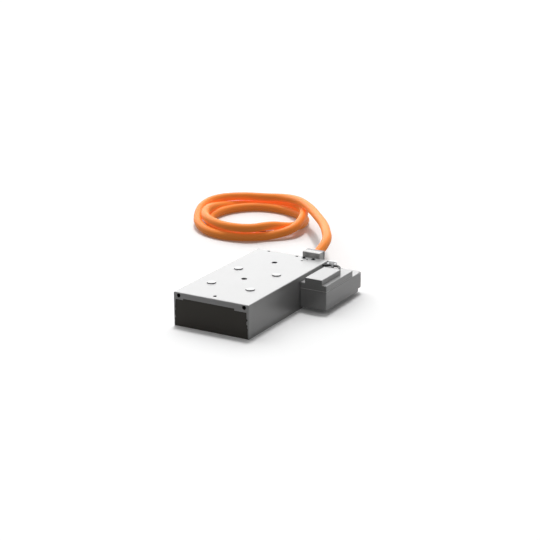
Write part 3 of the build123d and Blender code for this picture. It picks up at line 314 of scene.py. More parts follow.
@dataclass(frozen=True)
class DrilledPlate(Machined):
    """Machined metal whose holes are painted dark inside, as painted shade of the bore and its
    thread.

    Attributes:
        holes: The holes.
        top: Height under which a place is inside a hole of the top.
        front: Place behind which it is inside a hole of the front.
    """

    holes: tuple[Hole, ...] = ()
    top: float = 40.97
    front: float = -96.97

    def shade(self, tree: bpy.types.NodeTree, where: bpy.types.NodeSocket) -> bpy.types.NodeSocket:
        """Draw one inside the holes, where shade is painted, and zero elsewhere.

        Args:
            tree: The material's node tree.
            where: Object coordinates, in metres.

        Returns:
            The socket with the mask.
        """
        apart = add_node(tree, "ShaderNodeSeparateXYZ", {}, {"Vector": where}).outputs
        inside = {}
        for side, operation, place, limit in (
            (Side.TOP, "LESS_THAN", apart["Z"], self.top),
            (Side.FRONT, "GREATER_THAN", apart["Y"], self.front),
        ):
            pair = {0: place, 1: limit * MM}
            inside[side] = add_node(tree, "ShaderNodeMath", {"operation": operation}, pair)
        total = None
        for hole in self.holes:
            place = where
            for operation, value in (("SUBTRACT", hole.centre()), ("MULTIPLY", hole.side.value)):
                pair = {0: place, 1: value}
                moved = add_node(tree, "ShaderNodeVectorMath", {"operation": operation}, pair)
                place = moved.outputs[0]
            far = add_node(tree, "ShaderNodeVectorMath", {"operation": "LENGTH"}, {0: place})
            tests = [("LESS_THAN", hole.radius * MM), ("MULTIPLY", inside[hole.side].outputs[0])]
            if total is not None:
                tests.append(("MAXIMUM", total))
            total = far.outputs["Value"]
            for operation, value in tests:
                pair = {0: total, 1: value}
                total = add_node(tree, "ShaderNodeMath", {"operation": operation}, pair).outputs[0]
        return total


@dataclass(frozen=True)
class Banded(Finish):
    """Thin layers or turns side by side, such as laminations or wire.

    Attributes:
        axis: The axis that the bands follow each other along.
        pitch: Distance from one band to the next.
        unevenness: How far the bands stray.
        noise_share: Share of plain grain in the pattern.
    """

    axis: Axis = Axis.Y
    pitch: float = 0.5
    unevenness: float = 0.4
    noise_share: float = 0.25

    def pattern(
        self, tree: bpy.types.NodeTree, where: bpy.types.NodeSocket
    ) -> bpy.types.NodeSocket:
        """Draw the bands, a little broken by grain.

        Args:
            tree: The material's node tree.
            where: Object coordinates, in metres.

        Returns:
            The socket with the pattern's value, from 0 to 1.
        """
        kind = {"wave_type": "BANDS", "bands_direction": self.axis.name}
        scale = WAVE_LENGTH / (self.pitch * MM)
        bands = {"Vector": where, "Scale": scale, "Distortion": self.unevenness}
        wave = add_node(tree, "ShaderNodeTexWave", kind, bands).outputs["Fac"]
        grain = super().pattern(tree, where)
        both = {SHARE: self.noise_share, NUMBER_A: wave, NUMBER_B: grain}
        return add_node(tree, "ShaderNodeMix", {}, both).outputs[MIXED_NUMBER]


@dataclass(frozen=True)
class Jacket(Finish):
    """Extruded cable jacket: soft scatter under a waxy skin, and a painted glow on its shaded side.

    Attributes:
        scatter: Share of the light that goes under the skin.
        reach: How far red, green and blue go there, as shares of the deepest.
        deepest: How deep the light goes.
        painted_glow_colour: Colour of the painted glow, as sRGB hex.
        glow: Strength of the painted glow, light that no lamp gives.
    """

    scatter: float = 0.25
    reach: Point = (1.0, 0.45, 0.15)
    deepest: float = 2.5
    painted_glow_colour: str = "#FF974B"
    glow: float = 0.22

    def details(self, shader: bpy.types.Node) -> None:
        """Set the scatter and the painted glow.

        Args:
            shader: The material's shader.
        """
        shader.inputs["Subsurface Weight"].default_value = self.scatter
        shader.inputs["Subsurface Radius"].default_value = self.reach
        shader.inputs["Subsurface Scale"].default_value = self.deepest * MM
        # Painted light: the jacket glows by itself so that its shaded side comes out brighter
        shader.inputs["Emission Color"].default_value = linear(self.painted_glow_colour)
        shader.inputs["Emission Strength"].default_value = self.glow


@dataclass(frozen=True)
class Glassy(Finish):
    """Lacquer under a clear skin.

    Attributes:
        skin: Share of the clear skin.
        skin_roughness: The skin's roughness.
    """

    skin: float = 0.25
    skin_roughness: float = 0.2

    def details(self, shader: bpy.types.Node) -> None:
        """Lay the clear skin over the colour."""
        shader.inputs["Coat Weight"].default_value = self.skin
        shader.inputs["Coat Roughness"].default_value = self.skin_roughness


UNIT_HOLES = (
    Hole(Side.TOP, -3.45, -16.2, 3.45),
    Hole(Side.TOP, -3.45, 56.8, 3.45),
    Hole(Side.TOP, -0.3, -87.4, 2.15),
    Hole(Side.TOP, -32.4, 93.8, 1.7),
    Hole(Side.TOP, 8.3, 92.2, 1.7),
    Hole(Side.TOP, 22.0, 80.0, 1.35),
    Hole(Side.TOP, 25.6, 86.6, 1.35),
    Hole(Side.TOP, 18.9, 91.0, 3.0),
    Hole(Side.TOP, 31.9, 91.0, 3.0),
    Hole(Side.FRONT, -43.5, 37.4, 2.55),
    Hole(Side.FRONT, 44.0, 37.4, 2.55),
)

FINISHES: dict[Slot, Finish] = {
    # Extruded aluminium, milled and anodised. The matte clear skin hides the metal's mirror, so it
    # is shaded as a non-metal: pale, satin, with faint milling lines along the unit. Its holes get
    # painted shade inside
    Slot.UNIT_ALUMINIUM: DrilledPlate(
        "anodised_unit_aluminium", "#A3A3A3", "#9C9C9C", 0.32,
        ior=1.85, grain=0.35, depth=0.004, holes=UNIT_HOLES,
    ),
    # Filled epoxy, poured into the housing: nearly black, matte, with specks of filler
    Slot.RESIN: Finish("cast_epoxy", "#35322D", "#403D38", 0.7, ior=1.45, grain=0.5, depth=0.03),
    # Punched electrical steel, blue-grey, in layers drawn coarser than their half millimetre
    Slot.CORE_STEEL: Banded(
        "stacked_electrical_steel", "#7C8087", "#55585E", 0.45, 1.0,
        depth=0.05, pitch=1.0, axis=Axis.X,
    ),
    # Zinc-plated steel: bright, a little yellow
    Slot.BRIGHT_STEEL: Finish(
        "zinc_plated_steel", "#C9CACC", "#AEB0B3", 0.32, 1.0, grain=0.3, depth=0.004
    ),
    # Pressed aramid paper: warm off-white, fibrous
    Slot.INSULATION: Finish("aramid_paper", "#CDBE93", "#B7A574", 0.75, grain=0.4),
    # Enamelled round copper wire, wound turn on turn
    Slot.COPPER: Banded(
        "enamelled_copper", "#B4552A", "#7C3316", 0.34, 0.9, depth=0.18, pitch=0.9, axis=Axis.Z
    ),
    # Glass-epoxy board under green solder mask, glossy
    Slot.CIRCUIT_BOARD: Glassy(
        "green_solder_mask", "#1F5A38", "#2C7148", 0.42, ior=1.55, grain=1.6
    ),
    # Black vulcanised core insulation
    Slot.CORE_SHEATH: Finish(
        "core_insulation", "#1B1B1D", "#29292B", 0.5, ior=1.48, grain=0.4, depth=0.01
    ),
    # Hardened steel, ground flat. The grinding leaves it as pale and satin as the plate, so it is
    # shaded as the plate is, with fine lines across
    Slot.PAD_STEEL: Machined(
        "ground_steel", "#B1B1B1", "#A9A9A9", 0.3,
        ior=1.85, grain=0.25, depth=0.004, stretch=(18.0, 1.0, 1.0), cloud=9.0,
    ),
    # Clamp block: milled aluminium under the same pale skin, lines across
    Slot.CLAMP_ALUMINIUM: Machined(
        "milled_clamp_aluminium", "#C5C3C1", "#BCBAB8", 0.42,
        ior=1.85, grain=0.3, depth=0.004, stretch=(30.0, 1.0, 1.0), cloud=12.0,
    ),
    # Clamp's rear half: milled and grey anodised
    Slot.CLAMP_DARK: Machined(
        "grey_anodised_aluminium", "#7E7E80", "#727275", 0.42,
        ior=1.6, grain=0.3, depth=0.004, stretch=(30.0, 1.0, 1.0), cloud=12.0,
    ),
    # Moulded nitrile rubber, matte with a fine grain
    Slot.BLACK_RUBBER: Finish(
        "nitrile_rubber", "#161617", "#222223", 0.7, ior=1.52, grain=0.25, depth=0.015
    ),
    # Black oxide on alloy steel; on the pads' sides it is painted shade
    Slot.BLACK_STEEL: Finish(
        "black_oxide_steel", "#38393B", "#28292B", 0.4, 1.0, grain=0.3, depth=0.006
    ),
    # Head castings: aluminium, bead-blasted and anodised, satin under the skin
    Slot.HEAD_ALUMINIUM: Finish(
        "blasted_head_aluminium", "#9C9C9C", "#949494", 0.34, ior=1.85, grain=0.28, depth=0.006
    ),
    # Moulded silicone bead between the head's shells: pale, soft sheen
    Slot.GASKET_RUBBER: Finish(
        "silicone_seal", "#EEEEEC", "#E4E4E2", 0.6, ior=1.43, grain=0.4, depth=0.01
    ),
    # Turned brass bushes and posts
    Slot.BRASS: Machined(
        "turned_brass", "#C9A25A", "#AF8742", 0.3, 1.0,
        grain=0.2, depth=0.004, stretch=(1.0, 1.0, 1.0), cloud=5.0,
    ),
    # Moulded epoxy of chips
    Slot.CHIP_BLACK: Finish(
        "chip_epoxy", "#1A1A1C", "#242426", 0.55, ior=1.55, grain=0.15, depth=0.006
    ),
    # Moulded polyamide of the wire header
    Slot.HEADER_WHITE: Finish(
        "natural_polyamide", "#E6E1D3", "#DAD4C4", 0.48, ior=1.53, depth=0.008
    ),
    # Galvanised sheet, bent: pale and matte
    Slot.CLIP_STEEL: Finish(
        "galvanised_sheet", "#FAFAFA", "#F0F0F0", 0.85, 1.0, grain=1.4, depth=0.006
    ),
    # Black wire insulation and heat-shrink sleeve
    Slot.BLACK_SHEATH: Finish(
        "black_polyolefin", "#121213", "#1E1E20", 0.45, grain=0.5, depth=0.012
    ),
    # Extruded polyurethane jacket: strong orange, satin, with a painted glow that lifts its shaded
    # side
    Slot.ORANGE_JACKET: Jacket(
        "orange_polyurethane", "#F88C26", "#F5841E", 0.5, ior=1.33, grain=0.9, depth=0.012
    ),
}

NODE_SLOTS: dict[Slot, tuple[str, ...]] = {
    Slot.UNIT_ALUMINIUM: ("housing",),
    Slot.RESIN: ("potting_resin",),
    Slot.CORE_STEEL: ("lamination_core",),
    Slot.BRIGHT_STEEL: ("core_rivets", "board_screws", "cover_screws", "head_shim", "clip_screw"),
    Slot.INSULATION: ("slot_wedges", "slot_liners", "winding_thermistor"),
    Slot.COPPER: ("coils_phase_u", "coils_phase_v", "coils_phase_w", "phase_busbars"),
    Slot.CIRCUIT_BOARD: ("terminal_board", "encoder_board"),
    Slot.CORE_SHEATH: ("supply_cores", "cable_end_cores"),
    Slot.PAD_STEEL: ("seating_pads",),
    Slot.CLAMP_ALUMINIUM: ("clamp_block",),
    Slot.CLAMP_DARK: ("clamp_back",),
    Slot.BLACK_RUBBER: ("cable_seal", "wire_grommets"),
    Slot.BLACK_STEEL: ("clamp_screws", "clamp_back_screws", "head_screws"),
    Slot.HEAD_ALUMINIUM: ("encoder_base", "encoder_lid", "encoder_end_cap"),
    Slot.GASKET_RUBBER: ("lid_gasket",),
    Slot.BRASS: ("board_standoffs", "head_inserts"),
    Slot.CHIP_BLACK: ("field_sensors", "signal_chip"),
    Slot.HEADER_WHITE: ("board_header",),
    Slot.CLIP_STEEL: ("wire_clip",),
    Slot.BLACK_SHEATH: ("signal_wires", "cable_end_sleeve"),
    Slot.ORANGE_JACKET: ("supply_cable", "supply_cable_coil"),
}


def deselect() -> None:
    """Leave nothing selected."""
    bpy.ops.object.select_all(action="DESELECT")


def hold(piece: bpy.types.Object) -> None:
    """Make a piece the only selected one and the active one.

    Args:
        piece: The piece.
    """
    deselect()
    piece.select_set(True)
    bpy.context.view_layer.objects.active = piece


def start_edit(piece: bpy.types.Object) -> None:
    """Open a piece in edit mode with nothing selected in it.

    Args:
        piece: The piece.
    """
    hold(piece)
    bpy.ops.object.mode_set(mode="EDIT")
    bpy.ops.mesh.select_all(action="DESELECT")


def end_edit() -> None:
    """Go back to object mode."""
    bpy.ops.object.mode_set(mode="OBJECT")


def pick_faces(piece: bpy.types.Object, test: Callable[[bmesh.types.BMFace], bool]) -> None:
    """Select the faces that a test names.

    Args:
        piece: The piece in edit mode.
        test: True for a face to select.
    """
    bpy.ops.mesh.select_mode(type="FACE")
    mesh = bmesh.from_edit_mesh(piece.data)
    for face in mesh.faces:
        face.select_set(test(face))
    bmesh.update_edit_mesh(piece.data)


def pick_edges(piece: bpy.types.Object, test: Callable[[bmesh.types.BMEdge], bool]) -> None:
    """Select the edges that a test names.

    Args:
        piece: The piece in edit mode.
        test: True for an edge to select.
    """
    bpy.ops.mesh.select_mode(type="EDGE")
    mesh = bmesh.from_edit_mesh(piece.data)
    for edge in mesh.edges:
        edge.select_set(test(edge))
    bmesh.update_edit_mesh(piece.data)


def sink(border: float, depth: float, each: bool = False) -> None:
    """Leave a border inside the picked faces and sink what it encloses.

    Args:
        border: Width of the border.
        depth: How far the enclosed faces go in; negative to raise them.
        each: Whether every face gets a border of its own.
    """
    bpy.ops.mesh.inset(thickness=border * MM, depth=-depth * MM, use_individual=each)


def break_edges(width: float, segments: int, profile: float = 0.5, clamp: bool = False) -> None:
    """Round the picked edges.

    Args:
        width: Width of the rounding.
        segments: Faces across it.
        profile: Its fullness; a half is round.
        clamp: Whether roundings stop before they meet.
    """
    bpy.ops.mesh.bevel(
        offset=width * MM, segments=segments, profile=profile, clamp_overlap=clamp
    )


def apply_modifier(piece: bpy.types.Object, modifier: bpy.types.Modifier) -> None:
    """Make a modifier's work part of the piece's mesh.

    Args:
        piece: The piece.
        modifier: Its modifier.
    """
    hold(piece)
    bpy.ops.object.modifier_apply(modifier=modifier.name)


def smooth(piece: bpy.types.Object, degrees: float) -> None:
    """Shade a piece smooth, with its sharp edges kept.

    Args:
        piece: The piece.
        degrees: The turn from which an edge stays sharp.
    """
    hold(piece)
    bpy.ops.object.shade_smooth_by_angle(angle=math.radians(degrees))


def settle(piece: bpy.types.Object) -> None:
    """Move a piece's place, turn and size into its mesh.

    Args:
        piece: The piece.
    """
    hold(piece)
    bpy.ops.object.transform_apply(location=True, rotation=True, scale=True)


def even_normals(piece: bpy.types.Object) -> None:
    """Let the large flat faces set the normals, so that rounded edges don't cloud them.

    Args:
        piece: The piece.
    """
    smooth(piece, SHARP)
    weighted = piece.modifiers.new("normals", "WEIGHTED_NORMAL")
    weighted.keep_sharp = True
    weighted.weight = 100
    apply_modifier(piece, weighted)


def new_rod(
    name: str, centre: Point, axis: Axis, diameter: float, length: float, sides: int
) -> bpy.types.Object:
    """Add a round bar at its size and place.

    Args:
        name: The piece's name.
        centre: Its middle.
        axis: Its direction.
        diameter: Its diameter.
        length: Its length.
        sides: Faces round it.

    Returns:
        The new piece.
    """
    deselect()
    bpy.ops.mesh.primitive_cylinder_add(
        vertices=sides,
        radius=diameter / 2 * MM,
        depth=length * MM,
        location=[c * MM for c in centre],
        rotation=axis.value,
    )
    piece = bpy.context.active_object
    piece.name = name
    settle(piece)
    return piece


def join(pieces: Sequence[bpy.types.Object]) -> bpy.types.Object:
    """Join pieces into the first one.

    Args:
        pieces: The pieces.

    Returns:
        The first piece, which holds them all.
    """
    hold(pieces[0])
    for piece in pieces[1:]:
        piece.select_set(True)
    if len(pieces) > 1:
        bpy.ops.object.join()
    return pieces[0]


def laid_in(place: Matrix, piece: bpy.types.Object) -> bpy.types.Object:
    """Copy a piece with a mesh of its own and set the copy in place.

    Args:
        place: Turn and place of the copy, in metres.
        piece: The piece to copy.

    Returns:
        The copy.
    """
    twin = bpy.data.objects.new(piece.name, piece.data.copy())
    bpy.context.scene.collection.objects.link(twin)
    twin.matrix_world = place
    settle(twin)
    return twin


def paint(
    piece: bpy.types.Object, slot: Slot, test: Callable[[bmesh.types.BMFace], bool]
) -> None:
    """Give the faces that a test names another finish.

    Args:
        piece: A piece that has its main finish.
        slot: The slot whose finish the faces take.
        test: True for a face to paint.
    """
    piece.data.materials.append(FINISHES[slot].material())
    start_edit(piece)
    pick_faces(piece, test)
    piece.active_material_index = len(piece.data.materials) - 1
    bpy.ops.object.material_slot_assign()
    end_edit()


def hand_over(piece: bpy.types.Object, name: str, slot: Slot, *nodes: str) -> bpy.types.Object:
    """Name and dress a finished piece, and give it to the frame.

    Args:
        piece: The finished piece.
        name: Its name.
        slot: The material slot that its finish is from.
        nodes: The CAD nodes that it stands for.

    Returns:
        The same piece.
    """
    piece.name = name
    piece.data.name = name
    piece.data.materials.clear()
    piece.data.materials.append(FINISHES[slot].material())
    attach(piece, "root")
    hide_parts(*nodes)
    log.info("%s stands for %s", name, ", ".join(nodes))
    return piece


def tube(name: str, points: Sequence[Point], diameter: float, steps: int) -> bpy.types.Object:
    """Lay a round tube along one smooth line.

    Args:
        name: The curve's name.
        points: Its control points.
        diameter: The tube's diameter.
        steps: Steps from one control point to the next.

    Returns:
        The curve object.
    """
    line = bpy.data.curves.new(name, "CURVE")
    line.dimensions = "3D"
    spline = line.splines.new("NURBS")
    spline.points.add(len(points) - 1)
    for point, place in zip(spline.points, points):
        point.co = (*(c * MM for c in place), 1.0)
    spline.order_u = 3
    spline.use_endpoint_u = True
    spline.resolution_u = steps
    line.bevel_depth = diameter / 2 * MM
    line.bevel_resolution = TUBE_ROUNDNESS
    line.use_fill_caps = True
    piece = bpy.data.objects.new(name, line)
    bpy.context.scene.collection.objects.link(piece)
    return piece


@dataclass
class SupplyCable:
    """The orange cable: out of the clamp, over to the floor and round in loose turns there.

    Attributes:
        diameter: The jacket's diameter.
        length: The cable's real length; not used.
        exit: Where it leaves the clamp; not used.
        centre: Middle of the coil, along X and Y.
        first_angle: Direction of the coil's first control point from its middle, in degrees.
        step: Turn from one of its control points to the next, in degrees.
        lead: Control points from inside the clamp to the coil.
        turns: Radius and height of the coil's control points.
        end: Control points at the free end.
    """

    diameter: float = 12.0
    length: float = 1554.0
    exit: Point = (25.4, 111.0, 39.4)
    centre: tuple[float, float] = (-181.0, 301.0)
    first_angle: float = 103.6
    step: float = 24.2417
    lead: tuple[Point, ...] = (
        (25.4, 102.54, 36.32), (25.0, 119.3, 42.46), (23.0, 139.1, 47.0), (16.1, 158.1, 48.7),
        (2.7, 181.2, 47.2), (-20.1, 220.8, 41.6), (-43.9, 256.7, 37.0), (-70.2, 291.8, 33.2),
        (-88.0, 314.2, 31.6), (-105.0, 332.5, 30.8), (-128.0, 355.0, 29.2), (-153.5, 375.5, 25.0),
        (-179.0, 388.0, 20.6),
    )
    turns: tuple[tuple[float, float], ...] = (
        (84.0, 18.8), (90.0, 18.8), (91.0, 19.2), (81.8, 17.4), (73.8, 11.9), (73.4, 8.4),
        (74.8, 6.5), (76.4, 6.0), (73.5, 6.0), (74.5, 6.0), (82.5, 11.6), (76.5, 18.4),
        (75.3, 18.6), (82.0, 16.2), (91.0, 10.5), (92.5, 6.2), (89.0, 6.2), (77.5, 11.2),
        (66.2, 17.3), (63.2, 18.2), (63.6, 18.2), (66.5, 18.2), (73.0, 18.2), (76.5, 18.4),
        (66.5, 18.6), (66.5, 11.0), (73.0, 6.0), (79.5, 6.0), (77.0, 6.0), (77.5, 6.0),
        (79.0, 6.0), (73.5, 6.0), (67.0, 6.0), (61.5, 6.0), (57.5, 6.0), (53.5, 6.0),
        (49.4, 6.0),
    )
    end: tuple[Point, ...] = ((-184.0, 252.5, 6.2), (-174.6, 255.9, 6.3))

    def route(self) -> list[Point]:
        """Give the control points from the clamp to the cable's free end.

        Returns:
            The points.
        """
        # the smooth line keeps inside its control points, so these stand further out
        inward = OWN_WEIGHT + (1 - OWN_WEIGHT) * math.cos(math.radians(self.step))
        points = list(self.lead)
        for number, (radius, height) in enumerate(self.turns):
            angle = math.radians(self.first_angle + number * self.step)
            out = radius / inward
            x = self.centre[0] + out * math.cos(angle)
            y = self.centre[1] + out * math.sin(angle)
            points.append((x, y, height))
        return [*points, *self.end]

    def build(self) -> bpy.types.Object:
        """Make the cable as one smooth line."""
        return tube("supply_cord", self.route(), self.diameter, steps=10)

    def dress(self, cable: bpy.types.Object, on_it: Sequence[bpy.types.Object]) -> None:
        """Args:
            cable: The curve.
            on_it: The pieces at its free end; not used.
        """
        hand_over(cable, "supply_cord", Slot.ORANGE_JACKET, "supply_cable", "supply_cable_coil")


@dataclass
class CableEnd:
    """The cable's stripped end: a heat-shrink sleeve and four cores with crimped ferrules.

    It is modelled from the origin along +X and then laid at the cable's end.

    Attributes:
        start: Where the sleeve begins.
        heading: The end's direction on the floor, in degrees from +X.
        sleeve: The sleeve's diameter and length.
        rim: Width of the sleeve's rim, lean of the wall inside it, and depth of its mouth.
        drawn_in: What is left of the rim's diameter where the sleeve has shrunk.
        rounding: Rounding of the sleeve's outer edge and of its foot.
        core: A core's diameter and length.
        cores: How many cores there are.
        spread: Distance of a core from the cable's axis.
        fan: Where along a core it stands further out, and how many times as far.
        bows: Rise of every other core, and of those between.
        tuck: How far a core goes into the sleeve and into its ferrule.
        ferrule: A ferrule's diameter and length.
        bore: Width of a ferrule's rim, lean of the wall inside it, and depth of its mouth.
        crimp: Width and depth of the press marks.
        uncrimped: Length next to a ferrule's mouth that the press leaves.
        bare: Distance past a core's insulation from which its metal shows.
    """

    start: Point = (-174.6, 255.9, 6.3)
    heading: float = 20.0
    sleeve: tuple[float, float] = (12.6, 14.0)
    rim: Point = (0.9, 0.25, 1.6)
    drawn_in: float = 0.95
    rounding: tuple[float, float] = (0.5, 0.22)
    core: tuple[float, float] = (3.4, 26.0)
    cores: int = 4
    spread: float = 2.6
    fan: tuple[tuple[float, float], ...] = ((0.4, 1.1), (0.75, 1.25))
    bows: tuple[float, float] = (-0.3, 0.5)
    tuck: float = 1.2
    ferrule: tuple[float, float] = (2.4, 9.0)
    bore: Point = (0.2, 0.05, 1.2)
    crimp: tuple[float, float] = (0.12, 0.06)
    uncrimped: float = 1.3
    bare: float = 0.3

    def place(self) -> Matrix:
        """Give the sleeve's start, with +X along the cable's end."""
        turn = Matrix.Rotation(math.radians(self.heading), 4, "Z")
        return Matrix.Translation(Vector(self.start) * MM) @ turn

    def build(self) -> list[bpy.types.Object]:
        """Make the sleeve and the cores."""
        return [self.build_sleeve(), self.build_cores()]

    def build_sleeve(self) -> bpy.types.Object:
        """Shrink the sleeve round the cable, open and drawn in at its outer end.

        Returns:
            The sleeve.
        """
        diameter, length = self.sleeve
        border, lean, depth = self.rim
        outer_rounding, foot_rounding = self.rounding
        end, rim = length * MM * AT_END, diameter * ON_RIM * MM
        sleeve = new_rod("sleeve", (length / 2, 0, 0), Axis.X, diameter, length, sides=40)
        start_edit(sleeve)
        pick_faces(sleeve, lambda f: f.normal.x > FACING)
        sink(border, 0)
        sink(lean, depth)
        pick_edges(sleeve, lambda e: all(v.co.x > end and v.co.yz.length > rim for v in e.verts))
        narrower = (1, self.drawn_in, self.drawn_in)
        bpy.ops.transform.resize(value=narrower, center_override=(end, 0, 0))
        break_edges(outer_rounding, segments=3)
        foot = length * MM - end
        pick_edges(sleeve, lambda e: all(v.co.x < foot and v.co.yz.length > rim for v in e.verts))
        break_edges(foot_rounding, segments=2)
        end_edit()
        even_normals(sleeve)
        laid = laid_in(self.place(), sleeve)
        bpy.data.objects.remove(sleeve)
        return hand_over(laid, "end_sleeve", Slot.BLACK_SHEATH, "cable_end_sleeve")

    def build_cores(self) -> bpy.types.Object:
        """Lay the cores, each a little bent, with a ferrule on its tip.

        Returns:
            The cores, as one piece.
        """
        width, length = self.core
        first, stripped = self.sleeve[1] - self.tuck, self.sleeve[1] + length
        (near, near_out), (far, far_out) = self.fan
        made = []
        for number in range(self.cores):
            angle = math.radians(360 * (number + 0.5) / self.cores)
            y, z = self.spread * math.cos(angle), self.spread * math.sin(angle)
            line = [
                (first, y, z),
                (first + length * near, y * near_out, z + self.bows[number % 2]),
                (first + length * far, y * far_out, z),
                (first + length + self.tuck, y, z),
            ]
            core = tube(f"core_{number}", line, width, steps=6)
            hold(core)
            bpy.ops.object.convert(target="MESH")
            made += [core, self.build_ferrule((stripped, y, z))]
        cores = join(made)
        laid = laid_in(self.place(), cores)
        bpy.data.objects.remove(cores)
        smooth(laid, degrees=40)
        hand_over(laid, "end_cores", Slot.CORE_SHEATH, "cable_end_cores")
        back = self.place().inverted()
        metal = (stripped + self.bare) * MM
        paint(laid, Slot.BRIGHT_STEEL, lambda f: (back @ f.calc_center_median()).x > metal)
        return laid

    def build_ferrule(self, foot: Point) -> bpy.types.Object:
        """Crimp a tube on a core's tip.

        Args:
            foot: Where the core's insulation ends.

        Returns:
            The ferrule.
        """
        width, length = self.ferrule
        border, lean, depth = self.bore
        x, y, z = foot
        ferrule = new_rod("ferrule", (x + length / 2, y, z), Axis.X, width, length, sides=16)
        pressed = (x + length - self.uncrimped) * MM
        start_edit(ferrule)
        pick_faces(ferrule, lambda f: f.normal.x > FACING)
        sink(border, 0)
        sink(lean, depth)
        pick_faces(
            ferrule,
            lambda f: abs(f.normal.x) < BESIDE and f.calc_center_median().x < pressed,
        )
        sink(*self.crimp, each=True)
        end_edit()
        return ferrule


@dataclass(frozen=True)
class CapScrew:
    """A cap screw with a knurled head and a hexagon socket.

    Its seat is at the origin and its shank points along -Z.

    Attributes:
        diameter: The shank's diameter.
        head: The head's diameter.
        height: The head's height.
        length: The shank's length.
        grooves: Grooves round the head, with as many ridges between them.
        groove: Width of the slope at a groove's edges, and the groove's depth.
        rounding: Rounding of the head's upper edge, as a share of its diameter.
        socket: The socket's width as a share of the head's diameter.
        bar: Length of the bar that cuts the socket, half of it above the head, by its height.
        point: Width of the chamfer on the tip, as a share of the shank's diameter.
    """

    diameter: float
    head: float
    height: float
    length: float
    grooves: int = 24
    groove: tuple[float, float] = (0.03, 0.05)
    rounding: float = 0.05
    socket: float = 0.52
    bar: float = 1.1
    point: float = 0.1

    def is_groove(self, face: bmesh.types.BMFace) -> bool:
        """Tell whether a face of the head's side is one that the knurl sinks."""
        number = math.atan2(face.normal.y, face.normal.x) * self.grooves / math.pi - 0.5
        return abs(face.normal.z) < BESIDE and round(number) % 2 == 0

    def build(self) -> bpy.types.Object:
        """Model the screw.

        Returns:
            The screw, not yet handed over.
        """
        sides = 2 * self.grooves
        head = new_rod("screw", (0, 0, self.height / 2), Axis.Z, self.head, self.height, sides)
        top, tip = self.height * MM * AT_END, -self.length * MM * AT_END
        start_edit(head)
        pick_faces(head, self.is_groove)
        sink(*self.groove, each=True)
        pick_edges(head, lambda e: all(v.co.z > top for v in e.verts))
        break_edges(self.head * self.rounding, segments=2, clamp=True)
        end_edit()
        across, deep = self.head * self.socket, self.height * self.bar
        socket = new_rod("socket", (0, 0, self.height), Axis.Z, across, deep, sides=6)
        cut = head.modifiers.new("socket", "BOOLEAN")
        cut.operation = "DIFFERENCE"
        cut.object = socket
        apply_modifier(head, cut)
        bpy.data.objects.remove(socket)
        middle = (0, 0, -self.length / 2)
        shank = new_rod("shank", middle, Axis.Z, self.diameter, self.length, sides=24)
        start_edit(shank)
        pick_edges(shank, lambda e: all(v.co.z < tip for v in e.verts))
        break_edges(self.diameter * self.point, segments=1)
        end_edit()
        screw = join([head, shank])
        smooth(screw, degrees=30)
        return screw

    def fit(
        self, name: str, slot: Slot, node: str, seats: Sequence[Point], direction: Point
    ) -> None:
        """Set copies of the screw in their places as one piece.

        Args:
            name: The piece's name.
            slot: Its material slot.
            node: The CAD node that it stands for.
            seats: Middle of each head's underside.
            direction: Where the shanks point.
        """
        pattern = self.build()
        turn = Vector(direction).to_track_quat("-Z", "Y").to_matrix().to_4x4()
        places = [Matrix.Translation(Vector(seat) * MM) @ turn for seat in seats]
        made = [laid_in(place, pattern) for place in places]
        bpy.data.objects.remove(pattern)
        hand_over(join(made), name, slot, node)


@dataclass
class SeatingPads:
    """Hardened round pads on the mounting face, ground on top; their side is painted black as
    painted shade.

    Attributes:
        diameter: A pad's diameter.
        height: Its height over the plate.
        rounding: Rounding of its upper edge.
        spigot: Diameter and length of the part of it in the plate.
        plate: Height of the mounting face.
        places: Middle of each pad, along X and Y.
    """

    diameter: float = 11.0
    height: float = 1.0
    rounding: float = 0.22
    spigot: tuple[float, float] = (7.0, 3.0)
    plate: float = 41.0
    places: tuple[tuple[float, float], ...] = (
        (-29.75, -47.2), (22.85, -47.2), (-29.75, 14.8), (22.85, 14.8),
    )

    def build(self) -> None:
        """Turn one pad and set four in the plate."""
        centre = (0, 0, self.height / 2)
        pad = new_rod("pad", centre, Axis.Z, self.diameter, self.height, sides=56)
        top = self.height * MM * AT_END
        width, length = self.spigot
        start_edit(pad)
        pick_edges(pad, lambda e: all(v.co.z > top for v in e.verts))
        break_edges(self.rounding, segments=2, profile=0.6)
        pick_faces(pad, lambda f: f.normal.z < -FACING)
        sink((self.diameter - width) / 2, 0)
        down = {"value": (0, 0, -length * MM)}
        bpy.ops.mesh.extrude_region_move(TRANSFORM_OT_translate=down)
        end_edit()
        even_normals(pad)
        seats = [Matrix.Translation(Vector((x, y, self.plate)) * MM) for x, y in self.places]
        made = [laid_in(seat, pad) for seat in seats]
        bpy.data.objects.remove(pad)
        pads = hand_over(join(made), "ground_pads", Slot.PAD_STEEL, "seating_pads")
        # Painted shade: the pads' sides take the black finish so that they show dark like a shaded
        # wall
        face = self.plate * MM
        paint(
            pads,
            Slot.BLACK_STEEL,
            lambda f: abs(f.normal.z) < STEEP and f.calc_center_median().z > face,
        )


